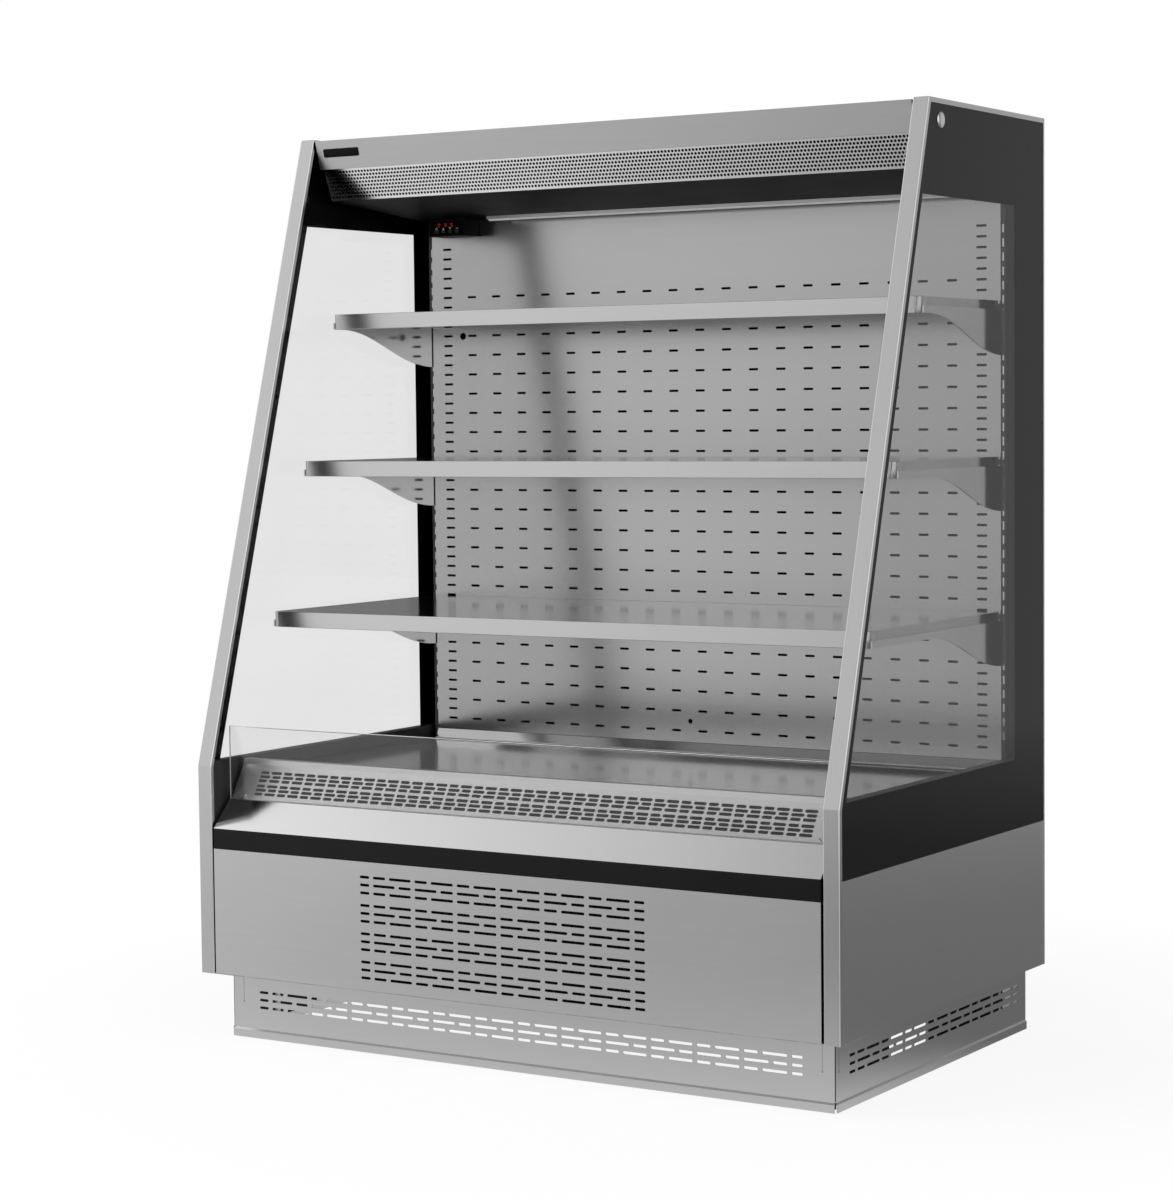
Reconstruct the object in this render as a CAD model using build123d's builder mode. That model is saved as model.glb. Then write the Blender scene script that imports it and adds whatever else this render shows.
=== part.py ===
from build123d import *
from math import cos, radians, sin, sqrt
import os

os.makedirs("parts", exist_ok=True)

# Open multideck display fridge, all sizes in millimetres.
# x runs across the front, y runs from the front (-) to the back (+), z is up from the floor.

# ---- overall cabinet ----
cabinet_width = 1300.0
cabinet_depth = 810.0
cabinet_height = 1645.0
skirt_height = 122.0        # underside of the cabinet body above the floor
knee_height = 500.0         # where the front edge of the side panels starts to lean back
top_setback = 336.0         # how far the top front edge lies behind the front face
side_thickness = 30.0
sheet = 1.2                 # folded stainless sheet
panel_gap = 4.0             # gap between the front panels and the side trims
fit_gap = 0.3               # running clearance between pieces that come apart

# ---- side panels ----
trim_front_return = 9.0
trim_top_return = 9.0
trim_rear_return = 4.0
trim_inner_step = 1.0            # the inner returns are this much narrower
glass_thickness = 6.0
lower_side_top = 384.5      # top of the steel lower side panel
cheek_top = 508.0           # top of the dark inner cheek
cap_radius = 14.0
cap_height = 5.0
cap_stud_radius = 4.0
cap_round = 4.0
cap_behind_front = 56.0     # from the leaning front edge, level with the cap
cap_below_top = 35.5

# ---- plinth and base ----
plinth_side_inset = 35.0
plinth_front_inset = 49.0
plinth_lip = 3.0
plinth_lip_height = 15.0
plinth_floor_gap = 1.5
plinth_flange = 15.0
frame_tube_height = 30.0
frame_tube_width = 40.0
frame_wall = 2.5
frame_end_inset = 52.0      # from the side faces to the ends of the long rails
frame_cross_inset = 80.0    # outer cross tubes inside the feet
foot_inset_x = 90.0
foot_inset_y = 105.0
foot_stem_radius = 6.0
foot_pad_radius = 22.0
foot_pad_height = 10.0
foot_pad_rim = 4.0
foot_pad_neck = 4.0         # pad top beyond the stem
foot_nut_height = 8.0
foot_nut_radius = 11.0
foot_bush_radius = 11.0
base_pan_thickness = 2.0
base_pan_front = 16.0

# ---- slotted ventilation patterns ----
slot_short = 26.0
slot_long = 46.0
slot_end = 20.0
slot_space = 8.3
slot_width = 4.8
slot_row_pitch = 14.0
slot_group_pitch = 50.0
service_slot_repeats = 6
service_slot_groups = 4
service_top_row_z = 324.0
plinth_front_repeats = 12
plinth_side_repeats = 7
plinth_top_row_z = 86.0
rear_slot_repeats = 5
rear_slot_groups = 3
rear_top_row_z = 304.0
plinth_side_row_start = 51.0   # first side slot behind the plinth's front face

# ---- front of the body ----
service_panel_bottom = 124.0
bumper_bottom = 351.0
bumper_top = 387.0
bumper_thickness = 14.0
panel_fold = 12.0
bumper_round = 2.0
fascia_joint = 0.5            # fascia above the bumper band
glass_edge = 0.8
fascia_top_y = 47.8
fascia_top_z = 436.0
riser_glass_thickness = 5.6
riser_glass_top = 569.0
riser_channel_depth = 15.4
riser_glass_inset = 5.0        # glass end to the side trim

# ---- return air grille and deck ----
grille_bottom_y = 57.0
grille_bottom_z = 437.5
grille_top_y = 92.5
grille_top_z = 495.5
grille_lip_top = 505.0
grille_lip_back = 111.5
grille_step = 2.5              # the lip's upstand leans back by this much
return_slot_short = 18.8
return_slot_long = 23.8
return_slot_space = 4.7
return_slot_repeats = 22
return_slot_width = 5.8
return_row_pitch = 8.0
return_group_pitch = 26.7
return_first_row = 10.4        # from the lower edge of the grille plate
grille_margin = 4.0            # plain strip along each bend of the grille plate
deck_front = 112.5
deck_level = 483.0
deck_edge_top = 503.0
deck_rear_top = 502.7          # top of the upstand along the back of the deck
deck_side_gap = 8.0
ledge_thickness = 5.0
ledge_width = 20.0
ledge_back_gap = 20.0          # deck ledge to the rear duct panel
grille_ledge_front = 6.0       # from the grille's upper bend
grille_ledge_back = 2.5        # from the back of the grille's lip

# ---- insulated body ----
tub_bottom = 345.0
tub_floor = 385.0
tub_wall_back = 62.0
nose_gap = 5.5                 # between the fascia and the foam behind it
insulation_back = 50.0
body_rear_inset = 4.0
roof_bottom = 1600.0
pipe_hole_radius = 16.0
pipe_hole_x = 561.0

# ---- rear duct panel and uprights ----
duct_panel_y = 703.0
duct_panel_half = 609.5
duct_panel_bottom = 503.0
duct_panel_top = 1515.0
duct_slot_length = 20.0
duct_slot_width = 4.4
duct_column_pitch = 57.3
duct_columns_each_side = 10
duct_row_pitch = 18.94
duct_first_row_z = 524.8
duct_dense_rows = 50
duct_sparse_rows = 23
probe_hole_radius = 4.5
probe_hole_x = -27.0
probe_hole_z = 543.0
sensor_hole_radius = 7.0
sensor_hole_x = -538.0
sensor_hole_z = 1282.0
upright_inner = 598.0
upright_outer = 618.0
upright_wall = 2.0
upright_slot_x = 613.0
upright_slot_width = 4.6
upright_slot_height = 15.0
upright_slot_pitch = 25.0
upright_slot_offset = 2.5      # slot centres above a shelf's top
upright_slots_above = 5

# ---- shelves ----
shelf_top_z = [1319.3, 1044.3, 769.3]
shelf_front_y = [374.5, 276.0, 177.0]
shelf_half_width = 609.0
shelf_back_gap = 2.0
shelf_edge = 16.0
shelf_hem = 8.0
shelf_corner = 10.0
rail_thickness = 2.0
rail_height = 28.5
rail_wrap = 24.0
rail_lip = 6.0
rail_reach = 60.0              # length of the outline that the rail's ends are cut from
rivet_head = 0.8
rivet_radius = 1.8
rivet_back = 37.0
rivet_below = 11.0
bracket_thickness = 3.0
bracket_flange = 12.0
bracket_arm = 12.0
bracket_drop = 96.5
bracket_curve_length = 289.0
bracket_front_handle = 105.0
bracket_rear_handle = 113.0
bracket_dip = 4.0
bracket_front_gap = 6.0
hook_height = 10.0
hook_reach = 8.0
hook_nib = 4.0
hook_rows = [1, 3]             # upright slots below the shelf top that are used

# ---- canopy ----
canopy_low_y = 350.0
canopy_low_z = 1589.0
canopy_top_gap = 3.0
canopy_setback = 0.5           # canopy face behind the leaning edge of the sides
canopy_return = 11.0
canopy_return_rise = 2.0
canopy_top_flange = 40.0
canopy_side_gap = 3.0
discharge_top_y = 361.5
discharge_low_y = 386.0
discharge_low_z = 1533.0
discharge_sheet = 1.0
hole_radius = 2.4
hole_pitch = 14.2
hole_row_pitch = 13.0
hole_margin = 8.0
soffit_rear_z = 1507.0
soffit_fold = 8.0
hanger_y = 500.0
hanger_width = 40.0
badge_length = 80.0
badge_width = 16.0
badge_thickness = 1.5
badge_round = 2.6
badge_x = -561.0
badge_down = 24.0              # badge centre below the canopy's top edge, along the face

# ---- lamp and controller ----
lamp_left_x = -445.0
lamp_right_x = 545.0
lamp_front_y = 652.0
lamp_depth = 16.0
lamp_bottom_z = 1502.0
lens_height = 3.0
lens_depth = 10.0
lens_round = 2.4
controller_x = -537.0
controller_width = 84.0
controller_front_y = 650.0
controller_depth = 52.0
controller_bottom_z = 1476.0
controller_wall = 2.0
display_width = 74.0
display_height = 26.0
display_thickness = 2.0
display_centre_z = 1493.0
button_count = 4
button_pitch = 16.0
button_width = 9.0
button_height = 5.0
button_drop = 8.0              # buttons below the middle of the display
button_stand = 1.2
button_round = 0.6
button_length = 6.0

# ---- refrigeration ----
condenser_half = 290.0
condenser_front = 24.0
condenser_depth = 56.0
condenser_bottom = 132.0
condenser_top = 332.0
fin_count = 36
fin_gap = 5.0
shroud_depth = 60.0
shroud_sheet = 1.5
condenser_fan_radius = 90.0
fan_tip_gap = 5.0
fan_hub_radius = 24.0
fan_hub_length = 22.0
motor_stand = 3.0
blade_chord_share = 0.42
blade_round_share = 0.2
shaft_radius = 4.0
coil_plate = 3.0
coil_core = 12.0               # unslit depth at the back of a coil
fan_motor_radius = 30.0
fan_motor_length = 34.0
fan_blades = 5
fan_blade_thickness = 1.6
fan_blade_pitch_angle = 28.0
strut_width = 8.0
evaporator_half = 520.0
evaporator_front = 420.0
evaporator_depth = 190.0
evaporator_height = 78.0
evaporator_foot = 3.0
fan_plate_front = 200.0
fan_plate_rise = 84.0
fan_plate_angle = 30.0
fan_plate_sheet = 1.5
evaporator_fan_radius = 66.0
evaporator_fan_x = 300.0
evaporator_motor_radius = 20.0
evaporator_motor_length = 20.0
evaporator_hub_radius = 18.0
evaporator_hub_length = 16.0
fan_plate_foot = 15.0
compressor_x = 400.0
compressor_y = 560.0
compressor_radius = 82.0
compressor_height = 190.0
compressor_foot = 12.0
compressor_plate = 4.0
compressor_ear = 14.0
compressor_dome = 30.0
box_x = -430.0
box_y = 560.0
box_width = 180.0
box_depth = 130.0
box_height = 150.0
box_round = 6.0
gland_x = -500.0
gland_z = 170.0
gland_bore_radius = 5.0
gland_body_radius = 13.0
gland_thread_radius = 9.8
gland_length = 22.0
gland_head = 4.0
gland_nut = 5.0
pipe_radius = 4.0
suction_radius = 6.0
suction_x = 555.0
suction_rise = 76.0            # pipe heights above the base pan
discharge_rise = 123.5
liquid_rise = 57.0
liquid_x = 568.0
pipe_bend = 3.5                # bend radius in pipe radii

# ---- derived places ----
half_width = cabinet_width / 2
trim_inner = half_width - side_thickness
core_half = trim_inner + sheet            # inner face of the side panel bodies
skin_half = half_width - sheet            # outer face of glass and lower sides
pane_inner = skin_half - glass_thickness
panel_half = trim_inner - panel_gap
lean = top_setback / (cabinet_height - knee_height)
lean_length = sqrt(1 + lean**2)
body_rear = cabinet_depth - body_rear_inset
wall_front = body_rear - insulation_back
channel_floor = fascia_top_z - riser_channel_depth
channel_back = fascia_top_y + riser_glass_thickness + 2 * fit_gap
fascia_rise = (fascia_top_z - bumper_top - fascia_joint) / fascia_top_y


def back(distance):
    """y of a point that lies this far behind the front face"""
    return distance - cabinet_depth / 2


def front_edge(z):
    """distance behind the front face of the side panel's front edge at height z"""
    return max(0.0, (z - knee_height) * lean)


def side_outline(front=0.0, top=0.0, rear=0.0, bottom=skirt_height):
    """side view of the cabinet, moved inwards by an amount at each edge"""
    top_z = cabinet_height - top
    knee_z = knee_height
    if front:
        knee_z -= front * (lean_length - 1) / lean
    corner_y = (top_z - knee_height) * lean + front * lean_length
    rear_y = cabinet_depth - rear
    return [
        (back(front), bottom),
        (back(front), knee_z),
        (back(corner_y), top_z),
        (back(rear_y), top_z),
        (back(rear_y), bottom),
    ]


def at_front(points):
    """points given as distance behind the front face and height"""
    return [(back(y), z) for y, z in points]


def folded(points, thickness):
    """closed outline of a folded sheet whose right-hand face follows the points"""
    inner = []
    last = len(points) - 1
    for i, (y, z) in enumerate(points):
        normals = []
        for a, b in ((i - 1, i), (i, i + 1)):
            if a >= 0 and b <= last:
                dy = points[b][0] - points[a][0]
                dz = points[b][1] - points[a][1]
                length = sqrt(dy * dy + dz * dz)
                normals.append((-dz / length, dy / length))
        ny = sum(n[0] for n in normals) / len(normals)
        nz = sum(n[1] for n in normals) / len(normals)
        scale = thickness / (ny * ny + nz * nz)
        inner.append((y + ny * scale, z + nz * scale))
    return list(points) + inner[::-1]


def bar(points, x_from, x_to, mode=Mode.ADD):
    """a profile in side view, carried from one x to another"""
    with BuildSketch(Plane.YZ.offset(x_from)) as section:
        with BuildLine():
            Polyline(*points, close=True)
        make_face()
    extrude(section.sketch, amount=x_to - x_from, mode=mode)


def block(x_range, y_range, z_range, mode=Mode.ADD):
    """a rectangular block, y measured back from the front face"""
    x0, x1 = x_range
    y0, y1 = back(y_range[0]), back(y_range[1])
    z0, z1 = z_range
    with Locations(((x0 + x1) / 2, (y0 + y1) / 2, (z0 + z1) / 2)):
        Box(abs(x1 - x0), y1 - y0, z1 - z0, mode=mode)


def save(builder, name):
    builder.part.label = name
    export_step(builder.part, f"parts/{name}.step")


def slot_row(first, second, repeats, end=0.0, space=slot_space):
    """centres and lengths of one row of alternating slots about the middle"""
    lengths = [end] if end else []
    lengths += [first, second] * repeats
    if end:
        lengths.append(end)
    total = sum(lengths) + space * (len(lengths) - 1)
    position = -total / 2
    row = []
    for length in lengths:
        row.append((position + length / 2, length))
        position += length + space
    return row


def vent_slots(top, groups, repeats, middle=0.0):
    """centres and lengths in groups of three rows, short-long, long-short, short-long"""
    slots = []
    for group in range(groups):
        for line in range(3):
            first, second = (slot_long, slot_short) if line == 1 else (slot_short, slot_long)
            height = top - group * slot_group_pitch - line * slot_row_pitch
            for centre, length in slot_row(first, second, repeats, slot_end):
                slots.append((middle + centre, height, length))
    return slots


def pierced_sheet(plane, low, high, slots, width, rounds=(), thickness=sheet):
    """adds a flat sheet between two corners, with round-ended slots and round holes"""
    with BuildSketch(plane) as pierced:
        outline = Rectangle(high[0] - low[0], high[1] - low[1], mode=Mode.PRIVATE)
        outline = outline.moved(Location(((low[0] + high[0]) / 2, (low[1] + high[1]) / 2)))
        shapes = {}
        for length in sorted({length for _, _, length in slots}):
            shapes[length] = SlotOverall(length, width, mode=Mode.PRIVATE).face().outer_wire()
        holes = [shapes[length].moved(Location((x, y))) for x, y, length in slots]
        for x, y, radius in rounds:
            circle = Circle(radius, mode=Mode.PRIVATE).face().outer_wire()
            holes.append(circle.moved(Location((x, y))))
        add(Face(outline.face().outer_wire(), holes))
    extrude(pierced.sketch, amount=thickness)


# ================= base =================
foot_x = half_width - foot_inset_x
foot_front_y = foot_inset_y
foot_rear_y = cabinet_depth - foot_inset_y
frame_bottom = skirt_height - frame_tube_height
foot_places = [(-foot_x, foot_front_y), (foot_x, foot_front_y), (-foot_x, foot_rear_y), (foot_x, foot_rear_y)]
rail_half = half_width - frame_end_inset
tube_half = frame_tube_width / 2

with BuildPart() as base_frame:
    for rail_y in (foot_front_y, foot_rear_y):
        block((-rail_half, rail_half), (rail_y - tube_half, rail_y + tube_half), (frame_bottom, skirt_height))
    for cross_x in (-foot_x + frame_cross_inset, 0.0, foot_x - frame_cross_inset):
        block(
            (cross_x - tube_half, cross_x + tube_half),
            (foot_front_y + tube_half, foot_rear_y - tube_half),
            (frame_bottom, skirt_height),
        )
        block(
            (cross_x - tube_half + frame_wall, cross_x + tube_half - frame_wall),
            (foot_front_y + tube_half, foot_rear_y - tube_half),
            (frame_bottom + frame_wall, skirt_height - frame_wall),
            mode=Mode.SUBTRACT,
        )
    for rail_y in (foot_front_y, foot_rear_y):
        block(
            (-rail_half, rail_half),
            (rail_y - tube_half + frame_wall, rail_y + tube_half - frame_wall),
            (frame_bottom + frame_wall, skirt_height - frame_wall),
            mode=Mode.SUBTRACT,
        )
    with Locations([(x, back(y), frame_bottom + frame_tube_height / 2) for x, y in foot_places]):
        Cylinder(foot_bush_radius, frame_tube_height)
        Cylinder(foot_stem_radius + fit_gap, frame_tube_height, mode=Mode.SUBTRACT)
save(base_frame, "base_frame")

for number, (x, y) in enumerate(foot_places, start=1):
    with BuildPart() as leveling_foot:
        with BuildSketch(Plane.XZ.offset(-back(y))):
            with BuildLine():
                Polyline(
                    (x, 0),
                    (x + foot_pad_radius, 0),
                    (x + foot_pad_radius, foot_pad_rim),
                    (x + foot_stem_radius + foot_pad_neck, foot_pad_height),
                    (x + foot_stem_radius, foot_pad_height),
                    (x + foot_stem_radius, skirt_height - foot_nut_height / 2),
                    (x, skirt_height - foot_nut_height / 2),
                    close=True,
                )
            make_face()
        revolve(axis=Axis((x, back(y), 0), (0, 0, 1)))
        with BuildSketch(Plane.XY.offset(frame_bottom - foot_nut_height - fit_gap)):
            with Locations((x, back(y))):
                RegularPolygon(foot_nut_radius, 6)
        extrude(amount=foot_nut_height)
    save(leveling_foot, f"leveling_foot_{number}")

plinth_half = half_width - plinth_side_inset
plinth_rear = body_rear - plinth_lip
plinth_top = skirt_height - fit_gap
plinth_profile = [
    (plinth_flange, plinth_top),
    (0.0, plinth_top),
    (0.0, plinth_lip_height + plinth_lip),
    (-plinth_lip, plinth_lip_height),
    (-plinth_lip, plinth_floor_gap),
]
plinth_low = plinth_profile[2][1]
plinth_top_fold = plinth_profile[:2]
plinth_foot_fold = [(0.0, plinth_low + 2 * sheet)] + plinth_profile[2:]

with BuildPart() as plinth_front:
    for fold in (plinth_top_fold, plinth_foot_fold):
        face = [(plinth_front_inset + y, z) for y, z in fold]
        bar(at_front(folded(face, sheet)), -plinth_half, plinth_half)
    pierced_sheet(
        Plane.XZ.offset(-back(plinth_front_inset + sheet)),
        (-plinth_half, plinth_low),
        (plinth_half, plinth_top),
        vent_slots(plinth_top_row_z, 1, plinth_front_repeats),
        slot_width,
    )
save(plinth_front, "plinth_front")

with BuildPart() as plinth_rear_panel:
    face = [(plinth_rear - y, z) for y, z in plinth_profile]
    bar(at_front(folded(face[::-1], sheet)), -plinth_half, plinth_half)
save(plinth_rear_panel, "plinth_rear")

with BuildPart() as plinth_sides:
    side_from = back(plinth_front_inset + sheet)
    side_to = back(plinth_rear - sheet)
    side_row = slot_row(slot_short, slot_long, plinth_side_repeats, slot_end)
    row_length = 2 * side_row[-1][0] + slot_end
    row_middle = back(plinth_front_inset + plinth_side_row_start + row_length / 2)
    for sign in (-1, 1):
        for fold in (plinth_top_fold, plinth_foot_fold):
            face = [(sign * (plinth_half - y), z) for y, z in fold]
            if sign > 0:
                face.reverse()
            with BuildSketch(Plane.XZ.offset(-side_from)) as section:
                with BuildLine():
                    Polyline(*folded(face, sheet), close=True)
                make_face()
            extrude(section.sketch, amount=-(side_to - side_from))
        pierced_sheet(
            Plane.YZ.offset(plinth_half - sheet if sign > 0 else -plinth_half),
            (side_from, plinth_low),
            (side_to, plinth_top),
            vent_slots(plinth_top_row_z, 1, plinth_side_repeats, row_middle),
            slot_width,
        )
    corner = plinth_flange + fit_gap
    for y_range in (
        (plinth_front_inset, plinth_front_inset + corner),
        (plinth_rear - corner, plinth_rear),
    ):
        block((-plinth_half, plinth_half), y_range, (plinth_top - sheet, plinth_top), mode=Mode.SUBTRACT)
save(plinth_sides, "plinth_sides")

pan_top = skirt_height + base_pan_thickness
with BuildPart() as base_pan:
    block((-core_half, core_half), (base_pan_front, body_rear - sheet), (skirt_height, pan_top))
    block(
        (-core_half, core_half),
        (body_rear - sheet - base_pan_thickness, body_rear - sheet),
        (pan_top, pan_top + panel_fold),
    )
    block((-trim_inner, trim_inner), (sheet, base_pan_front), (skirt_height, pan_top))
save(base_pan, "base_pan")

# ================= insulated body =================
nose_low = bumper_top + fascia_joint + bumper_thickness * fascia_rise - nose_gap
nose_top = channel_floor - sheet
nose_back = (nose_top - bumper_top - fascia_joint) / fascia_rise + nose_gap
with BuildPart() as insulated_tub:
    bar(
        at_front(
            [
                (bumper_thickness, tub_bottom),
                (bumper_thickness, nose_low),
                (nose_back, nose_top),
                (tub_wall_back, nose_top),
                (tub_wall_back, tub_floor),
                (wall_front, tub_floor),
                (wall_front, tub_bottom),
            ]
        ),
        -core_half,
        core_half,
    )
    with Locations((pipe_hole_x, back(compressor_y), tub_floor)):
        Hole(pipe_hole_radius, depth=tub_floor - tub_bottom)
save(insulated_tub, "insulated_tub")

with BuildPart() as insulated_back:
    block((-core_half, core_half), (wall_front, body_rear), (tub_bottom, cheek_top))
    block((-pane_inner, pane_inner), (wall_front, body_rear), (cheek_top, roof_bottom))
save(insulated_back, "insulated_back")

canopy_top_z = cabinet_height - canopy_top_gap
canopy_top_y = front_edge(canopy_top_z) + canopy_setback
with BuildPart() as roof_panel:
    roof_top = canopy_top_z - sheet
    block((-trim_inner, trim_inner), (canopy_low_y + canopy_return, body_rear), (roof_bottom, roof_top))
save(roof_panel, "roof_panel")

with BuildPart() as rear_cover:
    pierced_sheet(
        Plane.XZ.offset(-back(body_rear)),
        (-panel_half, pan_top),
        (panel_half, tub_bottom),
        vent_slots(rear_top_row_z, rear_slot_groups, rear_slot_repeats),
        slot_width,
        [(gland_x, gland_z, gland_thread_radius + fit_gap / 2)],
    )
save(rear_cover, "rear_cover")

with BuildPart() as cable_gland:
    gland_plane = Plane(origin=(gland_x, back(body_rear), gland_z), x_dir=(1, 0, 0), z_dir=(0, -1, 0))
    with BuildSketch(gland_plane.offset(-gland_head)):
        RegularPolygon(gland_body_radius, 6)
    extrude(amount=gland_head)
    with BuildSketch(gland_plane):
        Circle(gland_thread_radius)
    extrude(amount=gland_length - gland_head)
    with BuildSketch(gland_plane.offset(sheet)):
        RegularPolygon(gland_body_radius, 6)
    extrude(amount=gland_nut)
    with BuildSketch(gland_plane.offset(-gland_head)):
        Circle(gland_bore_radius)
    extrude(amount=gland_length, mode=Mode.SUBTRACT)
save(cable_gland, "cable_gland")

# ================= side panels =================
cap_z = cabinet_height - cap_below_top
cap_y = front_edge(cap_z) + cap_behind_front

for name, sign in (("left", -1), ("right", 1)):
    with BuildPart() as lower_side:
        block(
            (sign * core_half, sign * skin_half),
            (sheet, cabinet_depth - sheet),
            (skirt_height, lower_side_top),
        )
        cheek = side_outline(front=sheet, rear=sheet, bottom=lower_side_top)
        cheek[2] = (back(front_edge(cheek_top) + sheet * lean_length), cheek_top)
        cheek[3] = (back(cabinet_depth - sheet), cheek_top)
        bar(cheek, sign * core_half, sign * pane_inner)
        ledge_top = deck_level - sheet
        block(
            (sign * (core_half - ledge_width), sign * core_half),
            (deck_front, duct_panel_y - ledge_back_gap),
            (ledge_top - ledge_thickness, ledge_top),
        )
        grille_ledge_top = grille_lip_top - sheet
        block(
            (sign * (core_half - ledge_width / 2), sign * core_half),
            (grille_top_y + grille_ledge_front, grille_lip_back - grille_ledge_back),
            (grille_ledge_top - ledge_thickness, grille_ledge_top),
        )
    save(lower_side, f"lower_side_{name}")

    with BuildPart() as side_glass:
        pane = side_outline(front=sheet, top=sheet, rear=sheet, bottom=lower_side_top)
        bar(pane, sign * pane_inner, sign * skin_half)
        with Locations(Location((sign * pane_inner, back(cap_y), cap_z), (0, 90, 0))):
            Cylinder(cap_stud_radius + fit_gap, 4 * glass_thickness, mode=Mode.SUBTRACT)
    save(side_glass, f"side_glass_{name}")

    with BuildPart() as side_trim:
        bar(side_outline(), sign * trim_inner, sign * half_width)
        panel_outline = side_outline(front=sheet, top=sheet, rear=sheet)
        bar(panel_outline, sign * core_half, sign * skin_half, mode=Mode.SUBTRACT)
        outer_hole = side_outline(trim_front_return, trim_top_return, trim_rear_return)
        bar(outer_hole, sign * core_half, sign * half_width, mode=Mode.SUBTRACT)
        inner_hole = side_outline(
            trim_front_return - trim_inner_step, trim_top_return - trim_inner_step, trim_rear_return
        )
        bar(inner_hole, sign * trim_inner, sign * skin_half, mode=Mode.SUBTRACT)
    save(side_trim, f"side_trim_{name}")

with BuildPart() as side_caps:
    for sign in (-1, 1):
        cap_plane = Plane(origin=(sign * skin_half, back(cap_y), cap_z), x_dir=(0, 1, 0), z_dir=(sign, 0, 0))
        with BuildSketch(cap_plane):
            Circle(cap_radius)
        extrude(amount=cap_height)
        with BuildSketch(cap_plane):
            Circle(cap_stud_radius)
        extrude(amount=trim_inner - skin_half)
        rim = side_caps.edges().filter_by(GeomType.CIRCLE).sort_by(Axis.X)[0 if sign < 0 else -1]
        fillet(rim, cap_round)
save(side_caps, "side_caps")

# ================= front of the body =================
service_top = bumper_bottom - fit_gap
with BuildPart() as service_panel:
    pierced_sheet(
        Plane.XZ.offset(-back(sheet)),
        (-panel_half, service_panel_bottom),
        (panel_half, service_top),
        vent_slots(service_top_row_z, service_slot_groups, service_slot_repeats),
        slot_width,
    )
    for edge in ((service_panel_bottom, service_panel_bottom + sheet), (service_top - sheet, service_top)):
        block((-panel_half, panel_half), (0.0, panel_fold), edge)
save(service_panel, "service_panel")

with BuildPart() as bumper_band:
    block((-panel_half, panel_half), (0.0, bumper_thickness), (bumper_bottom, bumper_top))
    front_edges = bumper_band.edges().filter_by(Axis.X).group_by(Axis.Y)[0]
    fillet(front_edges, bumper_round)
save(bumper_band, "bumper_band")

with BuildPart() as fascia:
    fascia_path = [
        (channel_back, fascia_top_z),
        (channel_back, channel_floor),
        (fascia_top_y, channel_floor),
        (fascia_top_y, fascia_top_z),
        (0.0, bumper_top + fascia_joint),
        (bumper_thickness - sheet, bumper_top + fascia_joint),
    ]
    bar(at_front(folded(fascia_path, sheet)), -panel_half, panel_half)
save(fascia, "fascia")

with BuildPart() as riser_glass:
    glass_half = trim_inner - riser_glass_inset
    glass_from = fascia_top_y + fit_gap
    block(
        (-glass_half, glass_half),
        (glass_from, glass_from + riser_glass_thickness),
        (channel_floor + fit_gap, riser_glass_top),
    )
    chamfer(riser_glass.edges().filter_by(Axis.X).group_by(Axis.Z)[-1], glass_edge)
save(riser_glass, "riser_glass")

# ================= return air grille and deck =================
grille_slope = sqrt((grille_top_y - grille_bottom_y) ** 2 + (grille_top_z - grille_bottom_z) ** 2)
grille_along_y = (grille_top_y - grille_bottom_y) / grille_slope
grille_along_z = (grille_top_z - grille_bottom_z) / grille_slope
grille_plane = Plane(
    origin=(0, back(grille_bottom_y), grille_bottom_z),
    x_dir=(1, 0, 0),
    z_dir=(0, -grille_along_z, grille_along_y),
)
grille_slots = []
for group in range(2):
    for line in range(3):
        lengths = [return_slot_short, return_slot_long]
        if line == 1:
            lengths.reverse()
        along = return_first_row + group * return_group_pitch + line * return_row_pitch
        for centre, length in slot_row(*lengths, return_slot_repeats, space=return_slot_space):
            grille_slots.append((centre, along, length))

with BuildPart() as return_grille:
    grille_path = [
        (grille_lip_back, grille_lip_top),
        (grille_top_y + grille_step, grille_lip_top),
        (grille_top_y, grille_top_z),
        (grille_bottom_y, grille_bottom_z),
        (grille_bottom_y, channel_floor - sheet),
    ]
    bar(at_front(folded(grille_path, sheet)), -panel_half, panel_half)
    slope_low = (-panel_half, grille_margin)
    slope_high = (panel_half, grille_slope - grille_margin)
    with BuildSketch(grille_plane.offset(-2 * sheet)) as cut_out:
        with Locations((0, grille_slope / 2)):
            Rectangle(2 * panel_half, slope_high[1] - slope_low[1])
    extrude(cut_out.sketch, amount=3 * sheet, mode=Mode.SUBTRACT)
    pierced_sheet(grille_plane.offset(-sheet), slope_low, slope_high, grille_slots, return_slot_width)
save(return_grille, "return_grille")

with BuildPart() as deck_pan:
    deck_half = core_half - deck_side_gap
    deck_back = duct_panel_y - shelf_back_gap
    deck_path = [
        (deck_back, deck_rear_top),
        (deck_back - sheet, deck_rear_top),
        (deck_back - sheet, deck_level),
        (deck_front + sheet, deck_level),
        (deck_front + sheet, deck_edge_top),
        (deck_front, deck_edge_top),
        (deck_front, deck_level - sheet),
        (deck_back, deck_level - sheet),
    ]
    bar(at_front(deck_path), -deck_half, deck_half)
save(deck_pan, "deck_pan")

# ================= rear duct panel and uprights =================
upright_face = duct_panel_y + sheet


def soffit_z(y):
    """height of the soffit's underside at this distance behind the front face"""
    share = (y - discharge_low_y) / (duct_panel_y - discharge_low_y)
    return discharge_low_z + share * (soffit_rear_z - discharge_low_z)


duct_slots = []
duct_edge_x = duct_columns_each_side * duct_column_pitch
for row in range(duct_dense_rows):
    for side in (-1, 1):
        duct_slots.append((side * duct_edge_x, duct_first_row_z + row * duct_row_pitch))
for row in range(duct_sparse_rows):
    for column in range(1 - duct_columns_each_side, duct_columns_each_side):
        duct_slots.append((column * duct_column_pitch, duct_first_row_z + 2 * row * duct_row_pitch))

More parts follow.
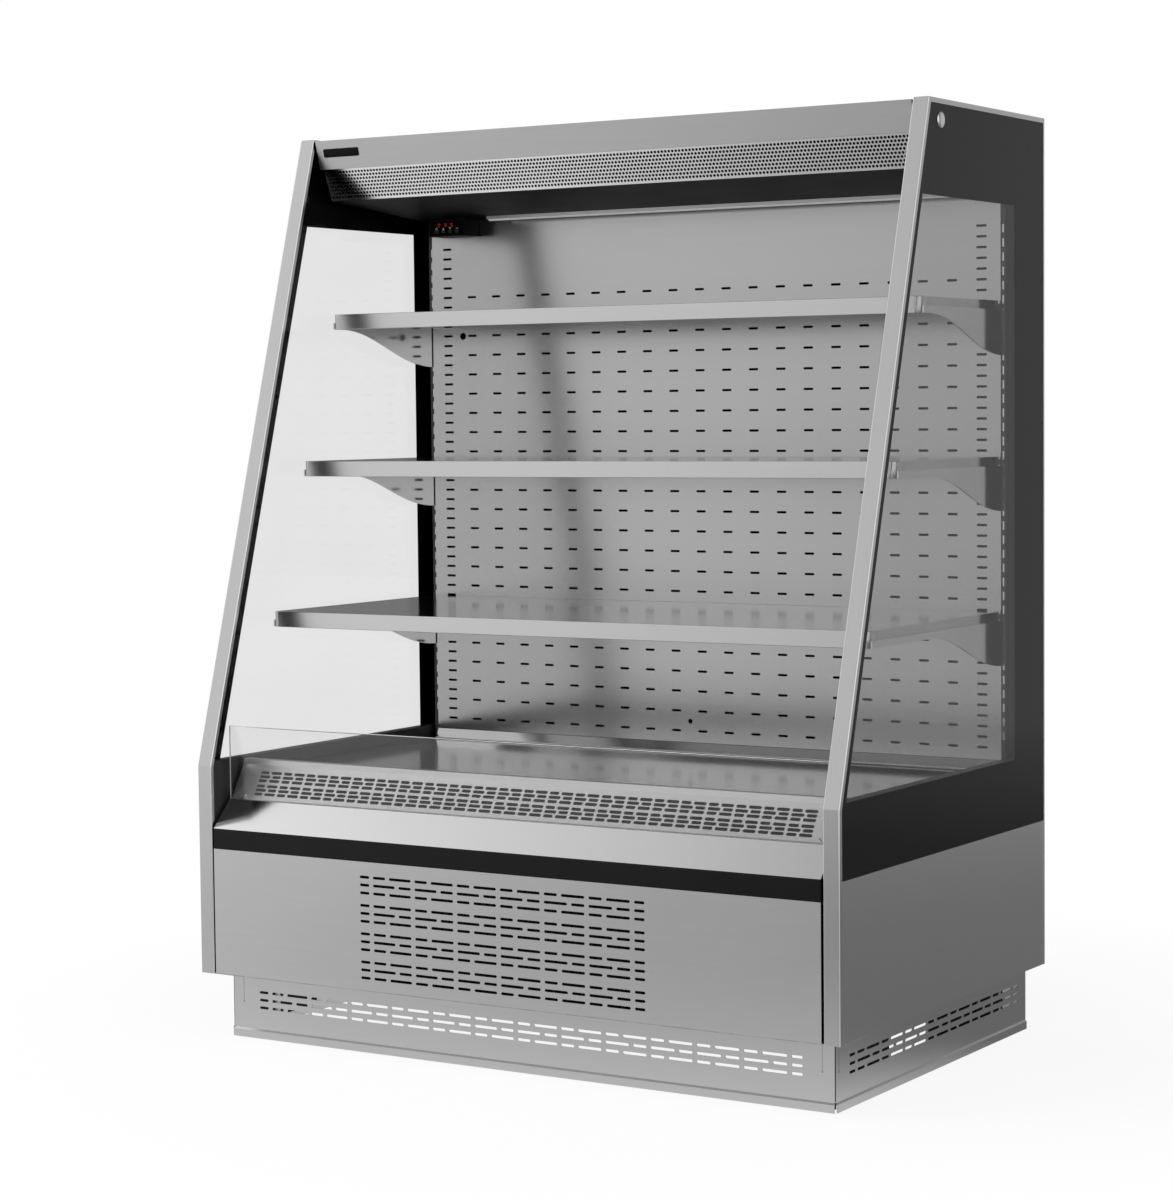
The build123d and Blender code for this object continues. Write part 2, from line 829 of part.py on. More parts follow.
with BuildPart() as back_duct_panel:
    pierced_sheet(
        Plane.XZ.offset(-back(upright_face)),
        (-duct_panel_half, duct_panel_bottom),
        (duct_panel_half, duct_panel_top),
        [(x, z, duct_slot_length) for x, z in duct_slots],
        duct_slot_width,
        [(probe_hole_x, probe_hole_z, probe_hole_radius), (sensor_hole_x, sensor_hole_z, sensor_hole_radius)],
    )
save(back_duct_panel, "back_duct_panel")

upright_first_slot = shelf_top_z[0] + upright_slot_offset + upright_slots_above * upright_slot_pitch
upright_slot_count = int((upright_first_slot - duct_panel_bottom) / upright_slot_pitch)
with BuildPart() as shelf_uprights:
    for sign in (-1, 1):
        block(
            (sign * upright_inner, sign * upright_outer),
            (upright_face, wall_front),
            (tub_floor, roof_bottom),
        )
        block(
            (sign * (upright_inner + upright_wall), sign * (upright_outer - upright_wall)),
            (upright_face + upright_wall, wall_front),
            (tub_floor, roof_bottom),
            mode=Mode.SUBTRACT,
        )
    slot_places = []
    for row in range(upright_slot_count):
        for sign in (-1, 1):
            slot_places.append((
                sign * upright_slot_x,
                back(upright_face + upright_wall / 2),
                upright_first_slot - row * upright_slot_pitch,
            ))
    with Locations(slot_places):
        Box(upright_slot_width, 2 * upright_wall, upright_slot_height, mode=Mode.SUBTRACT)
save(shelf_uprights, "shelf_uprights")

# ================= shelves =================
bracket_inner = upright_slot_x - bracket_thickness / 2
bracket_outer = upright_slot_x + bracket_thickness / 2
bracket_back = upright_face

for number, (top, front) in enumerate(zip(shelf_top_z, shelf_front_y), start=1):
    tray_front = front + rail_thickness
    tray_back = duct_panel_y - shelf_back_gap
    under = top - shelf_edge
    with BuildPart() as shelf_tray:
        for inset, low, high, mode in (
            (0.0, under, top, Mode.ADD),
            (sheet, under + sheet, top - sheet, Mode.SUBTRACT),
            (shelf_hem, under, under + sheet, Mode.SUBTRACT),
        ):
            with BuildSketch(Plane.XY.offset(low)) as outline:
                with Locations((0, back((tray_front + tray_back) / 2))):
                    Rectangle(2 * (shelf_half_width - inset), tray_back - tray_front - 2 * inset)
                corners = outline.vertices().group_by(Axis.Y)[0]
                fillet(corners, shelf_corner - inset)
            extrude(amount=high - low, mode=mode)
        rivet_x = shelf_half_width + rivet_head / 2
        rivets = [(sign * rivet_x, back(front + rivet_back), top - rivet_below) for sign in (-1, 1)]
        with Locations(rivets):
            Cylinder(rivet_radius, rivet_head, rotation=(0, 90, 0))
    save(shelf_tray, f"shelf_tray_{number}")

    with BuildPart() as price_rail:
        for grow, low, high, mode in (
            (rail_thickness, top - rail_height, top, Mode.ADD),
            (0.0, top - rail_height + rail_thickness, top, Mode.SUBTRACT),
            (-rail_lip, top - rail_height, top - rail_height + rail_thickness, Mode.SUBTRACT),
        ):
            with BuildSketch(Plane.XY.offset(low)) as outline:
                with Locations((0, back(tray_front + rail_reach / 2))):
                    Rectangle(2 * (shelf_half_width + grow), rail_reach + 2 * grow)
                corners = outline.vertices().group_by(Axis.Y)[0]
                fillet(corners, shelf_corner + grow)
            extrude(amount=high - low, mode=mode)
        block(
            (-cabinet_width, cabinet_width),
            (front + rail_wrap, front + rail_wrap + 2 * rail_reach),
            (top - 2 * rail_height, top + rail_height),
            mode=Mode.SUBTRACT,
        )
    save(price_rail, f"price_rail_{number}")

    with BuildPart() as shelf_brackets:
        arm_low = under - bracket_arm
        bracket_low = top - bracket_drop
        plate_front = front + bracket_front_gap
        curve_from = bracket_back - bracket_curve_length
        for sign in (-1, 1):
            with BuildSketch(Plane.YZ.offset(sign * bracket_inner)) as plate:
                with BuildLine():
                    Polyline(
                        (back(curve_from), arm_low),
                        (back(plate_front), arm_low),
                        (back(plate_front), under),
                        (back(bracket_back), under),
                        (back(bracket_back), bracket_low),
                    )
                    Bezier(
                        (back(curve_from), arm_low),
                        (back(curve_from + bracket_front_handle), arm_low - bracket_dip),
                        (back(bracket_back - bracket_rear_handle), bracket_low),
                        (back(bracket_back), bracket_low),
                    )
                make_face()
            extrude(plate.sketch, amount=sign * bracket_thickness)
            block(
                (sign * (bracket_outer - bracket_flange), sign * bracket_outer),
                (front + rail_wrap + sheet, tray_back),
                (under - bracket_thickness, under),
            )
            for row in hook_rows:
                slot_z = top + upright_slot_offset - row * upright_slot_pitch
                neck = slot_z - upright_slot_height / 2
                nib_front = bracket_back + upright_wall + fit_gap
                hook = [
                    (bracket_back, neck),
                    (nib_front, neck),
                    (nib_front, neck - hook_nib),
                    (bracket_back + hook_reach, neck - hook_nib),
                    (bracket_back + hook_reach, neck + hook_height),
                    (bracket_back, neck + hook_height),
                ]
                bar(at_front(hook), sign * bracket_inner, sign * bracket_outer)
    save(shelf_brackets, f"shelf_brackets_{number}")

# ================= canopy =================
canopy_half = trim_inner - canopy_side_gap
canopy_slope = sqrt((canopy_low_y - canopy_top_y) ** 2 + (canopy_top_z - canopy_low_z) ** 2)
canopy_along = ((canopy_low_y - canopy_top_y) / canopy_slope, (canopy_low_z - canopy_top_z) / canopy_slope)

with BuildPart() as canopy_front:
    canopy_path = [
        (canopy_top_y + canopy_top_flange, canopy_top_z),
        (canopy_top_y, canopy_top_z),
        (canopy_low_y, canopy_low_z),
        (canopy_low_y + canopy_return, canopy_low_z + canopy_return_rise),
    ]
    bar(at_front(folded(canopy_path, sheet)), -canopy_half, canopy_half)
save(canopy_front, "canopy_front")

with BuildPart() as badge_plate:
    badge_plane = Plane(
        origin=(
            badge_x,
            back(canopy_top_y + canopy_along[0] * badge_down),
            canopy_top_z + canopy_along[1] * badge_down,
        ),
        x_dir=(1, 0, 0),
        z_dir=(0, canopy_along[1], -canopy_along[0]),
    )
    with BuildSketch(badge_plane):
        RectangleRounded(badge_length, badge_width, badge_round)
    extrude(amount=badge_thickness)
save(badge_plate, "badge_plate")

discharge_top_z = canopy_low_z + canopy_return_rise
discharge_fall = discharge_top_z - discharge_low_z
discharge_run = discharge_low_y - discharge_top_y
discharge_length = sqrt(discharge_run**2 + discharge_fall**2)
discharge_plane = Plane(
    origin=(0, back(discharge_low_y), discharge_low_z),
    x_dir=(1, 0, 0),
    z_dir=(0, -discharge_fall, -discharge_run),
)
discharge_columns = int(2 * (canopy_half - hole_pitch) / hole_pitch)
discharge_lines = int((discharge_length - 2 * hole_margin) / hole_row_pitch) + 1
discharge_first = (discharge_length - (discharge_lines - 1) * hole_row_pitch) / 2
discharge_holes = []
for line in range(discharge_lines):
    shift = hole_pitch / 4 if line % 2 else -hole_pitch / 4
    for column in range(discharge_columns):
        hole_x = (column - (discharge_columns - 1) / 2) * hole_pitch + shift
        discharge_holes.append((hole_x, discharge_first + line * hole_row_pitch, hole_radius))

with BuildPart() as discharge_grille:
    pierced_sheet(
        discharge_plane.offset(-discharge_sheet),
        (-canopy_half, 0.0),
        (canopy_half, discharge_length),
        [],
        0.0,
        discharge_holes,
        discharge_sheet,
    )
    block(
        (-canopy_half, canopy_half),
        (discharge_top_y, discharge_top_y + discharge_sheet),
        (discharge_top_z, roof_bottom),
    )
save(discharge_grille, "discharge_grille")

soffit_front = discharge_low_y + sheet
with BuildPart() as soffit:
    soffit_path = [
        (soffit_front, soffit_z(soffit_front) + soffit_fold),
        (soffit_front, soffit_z(soffit_front)),
        (duct_panel_y, soffit_rear_z),
    ]
    bar(at_front(folded(soffit_path, sheet)), -canopy_half, canopy_half)
    block(
        (-canopy_half, canopy_half),
        (duct_panel_y, upright_face),
        (soffit_rear_z, soffit_rear_z + 2 * sheet),
        mode=Mode.SUBTRACT,
    )
    hanger_end = hanger_y + hanger_width
    hanger = [
        (hanger_y, soffit_z(hanger_y) + sheet / 2),
        (hanger_y, roof_bottom),
        (hanger_end, roof_bottom),
        (hanger_end, soffit_z(hanger_end) + sheet / 2),
    ]
    for hanger_x in (-canopy_half / 2, 0.0, canopy_half / 2):
        bar(at_front(hanger), hanger_x - sheet, hanger_x + sheet)
save(soffit, "soffit")

# ================= lamp and controller =================
lamp_back = lamp_front_y + lamp_depth
with BuildPart() as lamp_housing:
    lamp_outline = [
        (lamp_front_y, lamp_bottom_z + lens_height),
        (lamp_front_y, soffit_z(lamp_front_y)),
        (lamp_back, soffit_z(lamp_back)),
        (lamp_back, lamp_bottom_z + lens_height),
    ]
    bar(at_front(lamp_outline), lamp_left_x, lamp_right_x)
save(lamp_housing, "lamp_housing")

with BuildPart() as lamp_lens:
    lens_from = lamp_front_y + (lamp_depth - lens_depth) / 2
    block(
        (lamp_left_x + lens_height, lamp_right_x - lens_height),
        (lens_from, lens_from + lens_depth),
        (lamp_bottom_z, lamp_bottom_z + lens_height),
    )
    fillet(lamp_lens.edges().filter_by(Axis.X).group_by(Axis.Z)[0], lens_round)
save(lamp_lens, "lamp_lens")

controller_back = controller_front_y + controller_depth
display_low = display_centre_z - display_height / 2
display_high = display_centre_z + display_height / 2
display_left = controller_x - display_width / 2
display_right = controller_x + display_width / 2
display_back = controller_front_y + display_thickness
button_z = display_centre_z - button_drop
button_places = [controller_x + (i - (button_count - 1) / 2) * button_pitch for i in range(button_count)]

with BuildPart() as controller_housing:
    case_left = controller_x - controller_width / 2
    case_right = controller_x + controller_width / 2
    case_outline = [
        (controller_front_y, controller_bottom_z),
        (controller_front_y, soffit_z(controller_front_y)),
        (controller_back, soffit_z(controller_back)),
        (controller_back, controller_bottom_z),
    ]
    bar(at_front(case_outline), case_left, case_right)
    block(
        (display_left, display_right),
        (controller_front_y, display_back),
        (display_low, display_high),
        mode=Mode.SUBTRACT,
    )
    block(
        (display_left + controller_wall, display_right - controller_wall),
        (display_back, controller_back - controller_wall),
        (display_low + controller_wall, display_high - controller_wall),
        mode=Mode.SUBTRACT,
    )
save(controller_housing, "controller_housing")

with BuildPart() as controller_display:
    block((display_left, display_right), (controller_front_y, display_back), (display_low, display_high))
    for place in button_places:
        half = button_width / 2 + fit_gap
        block(
            (place - half, place + half),
            (controller_front_y, display_back),
            (button_z - button_height / 2 - fit_gap, button_z + button_height / 2 + fit_gap),
            mode=Mode.SUBTRACT,
        )
save(controller_display, "controller_display")

for number, place in enumerate(button_places, start=1):
    with BuildPart() as controller_button:
        block(
            (place - button_width / 2, place + button_width / 2),
            (controller_front_y - button_stand, controller_front_y - button_stand + button_length),
            (button_z - button_height / 2, button_z + button_height / 2),
        )
        button_face = controller_button.faces().sort_by(Axis.Y)[0]
        fillet(button_face.edges(), button_round)
    save(controller_button, f"controller_button_{number}")

# ================= refrigeration =================
def fan_blades_about(plane, radius, hub):
    """blades round the middle of a plane, pitched to it"""
    blade_length = radius - hub + sheet
    chord = radius * blade_chord_share
    for i in range(fan_blades):
        turned = plane.location * Location((0, 0, 0), (0, 0, 360.0 / fan_blades * i))
        placed = turned * Location((radius - blade_length / 2, 0, 0), (fan_blade_pitch_angle, 0, 0))
        with BuildSketch(Plane(placed).offset(-fan_blade_thickness / 2)) as blade:
            RectangleRounded(blade_length, chord, blade_length * blade_round_share)
        extrude(blade.sketch, amount=fan_blade_thickness)


def fan_rotor(plane, radius, hub, hub_length):
    with BuildPart() as rotor:
        with BuildSketch(plane.offset(-hub_length / 2)):
            Circle(hub)
        extrude(amount=hub_length)
        fan_blades_about(plane, radius, hub)
        with BuildSketch(plane.offset(-hub_length / 4)):
            Circle(shaft_radius + fit_gap)
        extrude(amount=hub_length, mode=Mode.SUBTRACT)
    return rotor


def fan_mount(plane, ring_radius, motor_radius, motor_length, hub_length):
    """motor, shaft and a cross of struts, standing on the plate round the fan"""
    stand = hub_length / 2 + motor_stand
    with BuildSketch(plane.offset(stand)) as motor:
        Circle(motor_radius)
    extrude(motor.sketch, amount=motor_length)
    with BuildSketch(plane.offset(-hub_length / 4 + fit_gap)) as shaft:
        Circle(shaft_radius)
    extrude(shaft.sketch, amount=stand + hub_length / 4)
    strut_length = 2 * (ring_radius + strut_width)
    with BuildSketch(plane.offset(stand)) as struts:
        Rectangle(strut_length, strut_width)
        Rectangle(strut_width, strut_length)
    extrude(struts.sketch, amount=strut_width / 2)
    reach = ring_radius + strut_width / 2
    with BuildSketch(plane) as legs:
        with Locations((reach, 0), (-reach, 0), (0, reach), (0, -reach)):
            Rectangle(strut_width, strut_width)
    extrude(legs.sketch, amount=stand)


def finned_coil(x_half, y_range, z_range, foot):
    """a block of fins between two end plates that stand on their feet"""
    block((-x_half, x_half), y_range, z_range)
    pitch = 2 * (x_half - coil_plate) / (fin_count + 1)
    deep = y_range[1] - coil_core
    for i in range(fin_count):
        middle = -x_half + coil_plate + pitch * (i + 1)
        block((middle - fin_gap / 2, middle + fin_gap / 2), (y_range[0], deep), z_range, mode=Mode.SUBTRACT)
    for sign in (-1, 1):
        block((sign * x_half, sign * (x_half + coil_plate)), y_range, (z_range[0] - foot, z_range[1]))


condenser_back = condenser_front + condenser_depth
with BuildPart() as condenser_coil:
    finned_coil(
        condenser_half,
        (condenser_front, condenser_back),
        (condenser_bottom, condenser_top),
        condenser_bottom - pan_top,
    )
save(condenser_coil, "condenser_coil")

shroud_back = condenser_back + shroud_depth
fan_z = (condenser_bottom + condenser_top) / 2
condenser_fan_plane = Plane(origin=(0, back(shroud_back), fan_z), x_dir=(-1, 0, 0), z_dir=(0, 1, 0))
with BuildPart() as condenser_shroud:
    block((-condenser_half, condenser_half), (condenser_back, shroud_back), (pan_top, condenser_top))
    block(
        (-condenser_half + shroud_sheet, condenser_half - shroud_sheet),
        (condenser_back, shroud_back - shroud_sheet),
        (pan_top + shroud_sheet, condenser_top - shroud_sheet),
        mode=Mode.SUBTRACT,
    )
    with BuildSketch(condenser_fan_plane.offset(-2 * shroud_sheet)):
        Circle(condenser_fan_radius + fan_tip_gap)
    extrude(amount=4 * shroud_sheet, mode=Mode.SUBTRACT)
    fan_mount(
        condenser_fan_plane,
        condenser_fan_radius + fan_tip_gap,
        fan_motor_radius,
        fan_motor_length,
        fan_hub_length,
    )
save(condenser_shroud, "condenser_shroud")

condenser_rotor = fan_rotor(condenser_fan_plane, condenser_fan_radius, fan_hub_radius, fan_hub_length)
save(condenser_rotor, "condenser_rotor")

slope = radians(fan_plate_angle)
plate_run = fan_plate_rise / sin(slope)
fan_middle_y = fan_plate_front + plate_run * cos(slope) / 2
fan_middle_z = tub_floor + plate_run * sin(slope) / 2
plate_normal = (0, -sin(slope), cos(slope))
fan_sides = (("left", -evaporator_fan_x), ("right", evaporator_fan_x))


def evaporator_fan_plane(fan_x):
    return Plane(origin=(fan_x, back(fan_middle_y), fan_middle_z), x_dir=(1, 0, 0), z_dir=plate_normal)


with BuildPart() as fan_plate:
    plate_back_y = fan_plate_front + plate_run * cos(slope)
    plate_path = [
        (fan_plate_front - fan_plate_foot, tub_floor),
        (fan_plate_front, tub_floor),
        (plate_back_y, tub_floor + fan_plate_rise),
    ]
    bar(at_front(folded(plate_path, fan_plate_sheet)), -evaporator_half, evaporator_half)
    for _, fan_x in fan_sides:
        with BuildSketch(evaporator_fan_plane(fan_x).offset(-2 * fan_plate_sheet)):
            Circle(evaporator_fan_radius + fan_tip_gap)
        extrude(amount=5 * fan_plate_sheet, mode=Mode.SUBTRACT)
    for _, fan_x in fan_sides:
        fan_mount(
            evaporator_fan_plane(fan_x),
            evaporator_fan_radius + fan_tip_gap,
            evaporator_motor_radius,
            evaporator_motor_length,
            evaporator_hub_length,
        )
save(fan_plate, "fan_plate")

for name, fan_x in fan_sides:
    rotor = fan_rotor(
        evaporator_fan_plane(fan_x), evaporator_fan_radius, evaporator_hub_radius, evaporator_hub_length
    )
    save(rotor, f"evaporator_rotor_{name}")

with BuildPart() as evaporator_coil:
    finned_coil(
        evaporator_half,
        (evaporator_front, evaporator_front + evaporator_depth),
        (tub_floor + evaporator_foot, tub_floor + evaporator_foot + evaporator_height),
        evaporator_foot,
    )
save(evaporator_coil, "evaporator_coil")

with BuildPart() as compressor:
    with Locations((compressor_x, back(compressor_y), pan_top + compressor_foot + compressor_plate / 2)):
        Box(2 * compressor_radius + 2 * compressor_ear, 2 * compressor_radius, compressor_plate)
        foot_reach_x = compressor_radius + compressor_ear - compressor_foot
        foot_reach_y = compressor_radius - compressor_foot
        with GridLocations(2 * foot_reach_x, 2 * foot_reach_y, 2, 2):
            Cylinder(
                compressor_foot,
                compressor_foot + compressor_plate / 2,
                align=(Align.CENTER, Align.CENTER, Align.MAX),
            )
    body_low = pan_top + compressor_foot
    with BuildSketch(Plane.XY.offset(body_low)):
        with Locations((compressor_x, back(compressor_y))):
            Circle(compressor_radius)
    extrude(amount=compressor_height)
    fillet(compressor.edges().filter_by(GeomType.CIRCLE).sort_by(Axis.Z)[-1], compressor_dome)
save(compressor, "compressor")

with BuildPart() as electrical_box:
    block(
        (box_x - box_width / 2, box_x + box_width / 2),
        (box_y - box_depth / 2, box_y + box_depth / 2),
        (pan_top, pan_top + box_height),
    )
    fillet(electrical_box.edges().filter_by(Axis.Z), box_round)
save(electrical_box, "electrical_box")

coil_side = condenser_half + coil_plate
evaporator_side = evaporator_half + coil_plate
discharge_z = pan_top + discharge_rise
liquid_z = pan_top + liquid_rise
suction_z = pan_top + suction_rise
evaporator_top = tub_floor + evaporator_foot + evaporator_height
pipe_routes = [
    (pipe_radius, [
        (compressor_x, compressor_y - compressor_radius, discharge_z),
        (compressor_x, condenser_front + condenser_depth / 2, discharge_z),
        (coil_side, condenser_front + condenser_depth / 2, discharge_z),
    ]),
    (suction_radius, [
        (compressor_x + compressor_radius, compressor_y, suction_z),
        (suction_x, compressor_y, suction_z),
        (suction_x, compressor_y, tub_floor + evaporator_height / 2),
        (evaporator_side, compressor_y, tub_floor + evaporator_height / 2),
    ]),
    (pipe_radius, [
        (coil_side, condenser_back - 2 * pipe_radius, liquid_z),
        (liquid_x, condenser_back - 2 * pipe_radius, liquid_z),
        (liquid_x, compressor_y, liquid_z),
        (liquid_x, compressor_y, evaporator_top - 3 * pipe_radius),
        (evaporator_side, compressor_y, evaporator_top - 3 * pipe_radius),
    ]),
]
with BuildPart() as refrigerant_pipes:
    for radius, route in pipe_routes:
        points = [(x, back(y), z) for x, y, z in route]
        with BuildLine() as line:
            FilletPolyline(*points, radius=pipe_bend * radius)
        start = Vector(*points[1]) - Vector(*points[0])
        with BuildSketch(Plane(origin=points[0], z_dir=start)):
            Circle(radius)
        sweep(path=line.wires()[0])
save(refrigerant_pipes, "refrigerant_pipes")
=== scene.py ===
import math

import bmesh
import bpy
from mathutils import Matrix, Vector


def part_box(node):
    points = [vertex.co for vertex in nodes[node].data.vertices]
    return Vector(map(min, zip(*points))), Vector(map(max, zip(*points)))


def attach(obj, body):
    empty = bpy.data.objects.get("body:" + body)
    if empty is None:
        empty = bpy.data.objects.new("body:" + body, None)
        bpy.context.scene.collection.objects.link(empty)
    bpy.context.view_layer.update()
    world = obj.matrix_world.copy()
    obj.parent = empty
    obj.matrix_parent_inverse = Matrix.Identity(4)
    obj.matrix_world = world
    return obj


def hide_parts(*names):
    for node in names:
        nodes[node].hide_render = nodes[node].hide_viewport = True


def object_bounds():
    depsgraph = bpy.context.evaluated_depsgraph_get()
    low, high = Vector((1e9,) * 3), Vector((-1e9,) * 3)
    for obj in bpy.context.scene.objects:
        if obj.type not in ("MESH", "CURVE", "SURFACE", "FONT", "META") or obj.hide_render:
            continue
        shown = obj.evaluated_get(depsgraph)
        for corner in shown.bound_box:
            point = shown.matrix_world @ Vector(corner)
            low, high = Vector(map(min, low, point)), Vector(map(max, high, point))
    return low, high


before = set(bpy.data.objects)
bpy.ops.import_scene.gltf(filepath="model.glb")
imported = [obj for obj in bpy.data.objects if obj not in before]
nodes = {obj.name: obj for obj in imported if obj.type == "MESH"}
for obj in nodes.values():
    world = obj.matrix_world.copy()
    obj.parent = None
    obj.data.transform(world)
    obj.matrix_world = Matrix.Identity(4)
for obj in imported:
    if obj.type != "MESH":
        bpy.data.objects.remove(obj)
cadLow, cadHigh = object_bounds()
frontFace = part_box("side_trim_left")[0].y  # the foremost plane, y = 0 in the sizes below
print("frame loaded,", len(nodes), "nodes")


def behind(distance):
    return frontFace + distance


# camera
viewpoint = {
    "place": (2.7803, -4.5490, 1.1335),
    "azimuth": 32.072,  # degrees turned to the left of straight ahead
    "pitch": 3.659,  # degrees down
    "roll": -0.594,
    "lens": 88.93,  # millimetres
    "sensor": 36.0,  # millimetres wide
}


def addCamera(view):
    azimuth, pitch, roll = (math.radians(view[k]) for k in ("azimuth", "pitch", "roll"))
    ahead = Vector((
        -math.sin(azimuth) * math.cos(pitch),
        math.cos(azimuth) * math.cos(pitch),
        -math.sin(pitch),
    ))
    level = Vector((math.cos(azimuth), math.sin(azimuth), 0.0))
    upright = level.cross(ahead)
    right = level * math.cos(roll) + upright * math.sin(roll)
    up = upright * math.cos(roll) - level * math.sin(roll)
    lensData = bpy.data.cameras.new("camera")
    lensData.lens = view["lens"]
    lensData.sensor_width = view["sensor"]
    cameraObject = bpy.data.objects.new("camera", lensData)
    turn = Matrix((right, up, -ahead)).transposed().to_4x4()
    cameraObject.matrix_world = Matrix.Translation(view["place"]) @ turn
    bpy.context.scene.collection.objects.link(cameraObject)
    bpy.context.scene.camera = cameraObject


addCamera(viewpoint)
bpy.context.scene.view_settings.view_transform = "Standard"
print("camera placed")

# material helpers


def newMaterial(name):
    made = bpy.data.materials.new(name)
    made.use_nodes = True
    return made, made.node_tree, made.node_tree.nodes["Principled BSDF"]


def feed(tree, value, target):
    # links a socket and sets a plain value
    if isinstance(value, bpy.types.NodeSocket):
        tree.links.new(value, target)
    else:
        target.default_value = value


def feedAll(tree, node, values):
    for key, value in values.items():
        feed(tree, value, node.inputs[key])


def addNode(tree, kind, *values, **settings):
    # values go into the sockets in their order, settings into the sockets or properties of their names
    made = tree.nodes.new(kind)
    for value, target in zip(values, made.inputs):
        feed(tree, value, target)
    for key, value in settings.items():
        if key in made.inputs:
            feed(tree, value, made.inputs[key])
        else:
            setattr(made, key, value)
    return made


def mathOf(tree, operation, *values):
    return addNode(tree, "ShaderNodeMath", *values, operation=operation).outputs[0]


def vectorMathOf(tree, operation, *values):
    # ADD and NORMALIZE give a vector, DISTANCE, DOT_PRODUCT and LENGTH a number
    made = addNode(tree, "ShaderNodeVectorMath", *values, operation=operation)
    return made.outputs["Vector" if operation in ("ADD", "NORMALIZE") else "Value"]


def grey(tone, tint=0.0):
    return (tone, tone * (1 + tint / 2), tone * (1 + tint), 1.0)


def ownCoordinates(tree):
    return addNode(tree, "ShaderNodeTexCoord").outputs["Object"]


def noiseOf(tree, stretch, detail=2.0, roughness=0.5):
    # noise over the part's own coordinates, stretch gives cycles a metre along x, y and z
    mapping = addNode(tree, "ShaderNodeMapping", Vector=ownCoordinates(tree), Scale=stretch)
    place = mapping.outputs["Vector"]
    noise = addNode(tree, "ShaderNodeTexNoise", Vector=place, Scale=1.0, Detail=detail, Roughness=roughness)
    return noise.outputs["Fac"]


def ranged(tree, value, low, high, fromLow=0.25, fromHigh=0.75):
    # most of a noise lies between fromLow and fromHigh as they stand here
    return addNode(tree, "ShaderNodeMapRange", value, fromLow, fromHigh, low, high).outputs["Result"]


def mixColours(tree, factor, first, second, blend="MIX"):
    made = addNode(tree, "ShaderNodeMix", factor, data_type="RGBA", blend_type=blend)
    feed(tree, first, made.inputs[6])  # the node's two colour sockets
    feed(tree, second, made.inputs[7])
    return made.outputs[2]


def mixShaders(tree, factor, first, second):
    return addNode(tree, "ShaderNodeMixShader", factor, first, second).outputs[0]


def bumped(tree, shader, height, distance):
    bump = addNode(tree, "ShaderNodeBump", Distance=distance, Strength=1.0, Height=height)
    feed(tree, bump.outputs["Normal"], shader.inputs["Normal"])


def rayKinds(tree):
    return addNode(tree, "ShaderNodeLightPath").outputs


halfBounce = 0.5  # depths are whole numbers, so this tells no bounce from one


def seenStraight(tree):
    # one for what the camera sees directly or through glass, nothing for what metal mirrors
    rays = rayKinds(tree)
    bounces = mathOf(tree, "ADD", rays["Glossy Depth"], rays["Diffuse Depth"])
    unbounced = mathOf(tree, "LESS_THAN", bounces, halfBounce)
    through = mathOf(tree, "MULTIPLY", rays["Is Transmission Ray"], unbounced)
    return mathOf(tree, "MAXIMUM", rays["Is Camera Ray"], through)


def mirrored(tree):
    # one for what metal or glass mirrors
    rays = rayKinds(tree)
    bounced = mathOf(tree, "GREATER_THAN", rays["Glossy Depth"], halfBounce)
    return mathOf(tree, "MAXIMUM", rays["Is Glossy Ray"], bounced)


def withShadowPass(tree, shader, tint):
    # lets the lamps through a pane, so that what stands behind it is lit
    clear = addNode(tree, "ShaderNodeBsdfTransparent", Color=tint)
    surface = mixShaders(tree, rayKinds(tree)["Is Shadow Ray"], shader.outputs[0], clear.outputs[0])
    feed(tree, surface, tree.nodes["Material Output"].inputs["Surface"])


brushing = {
    "fineStretch": 120,  # how many times longer than wide the fine grain is
    "broadStretch": 30,
    "fineShare": 0.6,  # of the change in tone
    "broadShare": 0.4,
    "cloud": (3.0, 3.0, 3.0),  # cycles a metre of the slow change in roughness
    "tint": 0.006,  # of the lighter tone
}


def brushedSteel(name, look, grains):
    # stainless with grain along one or two axes and a cloudy roughness
    made, tree, shader = newMaterial(name)
    fine = [look["fine"]] * 3
    broad = [look["broad"]] * 3
    for axis in look["along"]:
        fine["xyz".index(axis)] = look["fine"] / grains["fineStretch"]
        broad["xyz".index(axis)] = look["broad"] / grains["broadStretch"]
    grain = noiseOf(tree, fine, detail=3.0, roughness=0.6)
    streak = noiseOf(tree, broad)
    cloud = noiseOf(tree, grains["cloud"], detail=3.0)
    tone, spread = look["tone"], look["spread"]
    fineChange = ranged(tree, grain, 0.0, grains["fineShare"])
    change = mathOf(tree, "ADD", fineChange, ranged(tree, streak, 0.0, grains["broadShare"]))
    grainRoughness = ranged(tree, grain, 0.0, look["grainRoughness"])
    feedAll(tree, shader, {
        "Base Color": mixColours(tree, change, grey(tone - spread), grey(tone + spread, grains["tint"])),
        "Metallic": 1.0,
        "Roughness": mathOf(tree, "ADD", ranged(tree, cloud, *look["roughness"]), grainRoughness),
    })
    bumped(tree, shader, grain, look["depth"])
    return made


mouldedCloud = (5.0, 5.0, 5.0)  # cycles a metre of the slow change of tone


def moulded(name, look):
    # plastic, paint or plain metal with a fine skin and a slow change of tone
    made, tree, shader = newMaterial(name)
    cloud = noiseOf(tree, mouldedCloud, detail=3.0)
    feedAll(tree, shader, {
        "Base Color": mixColours(tree, ranged(tree, cloud, 0.0, 1.0), look["dark"], look["light"]),
        "Roughness": ranged(tree, cloud, *look["roughness"]),
        "Metallic": look.get("metallic", 0.0),
        "Specular IOR Level": look.get("shine", 0.5),
    })
    bumped(tree, shader, noiseOf(tree, [look["skin"]] * 3), look["depth"])
    return made


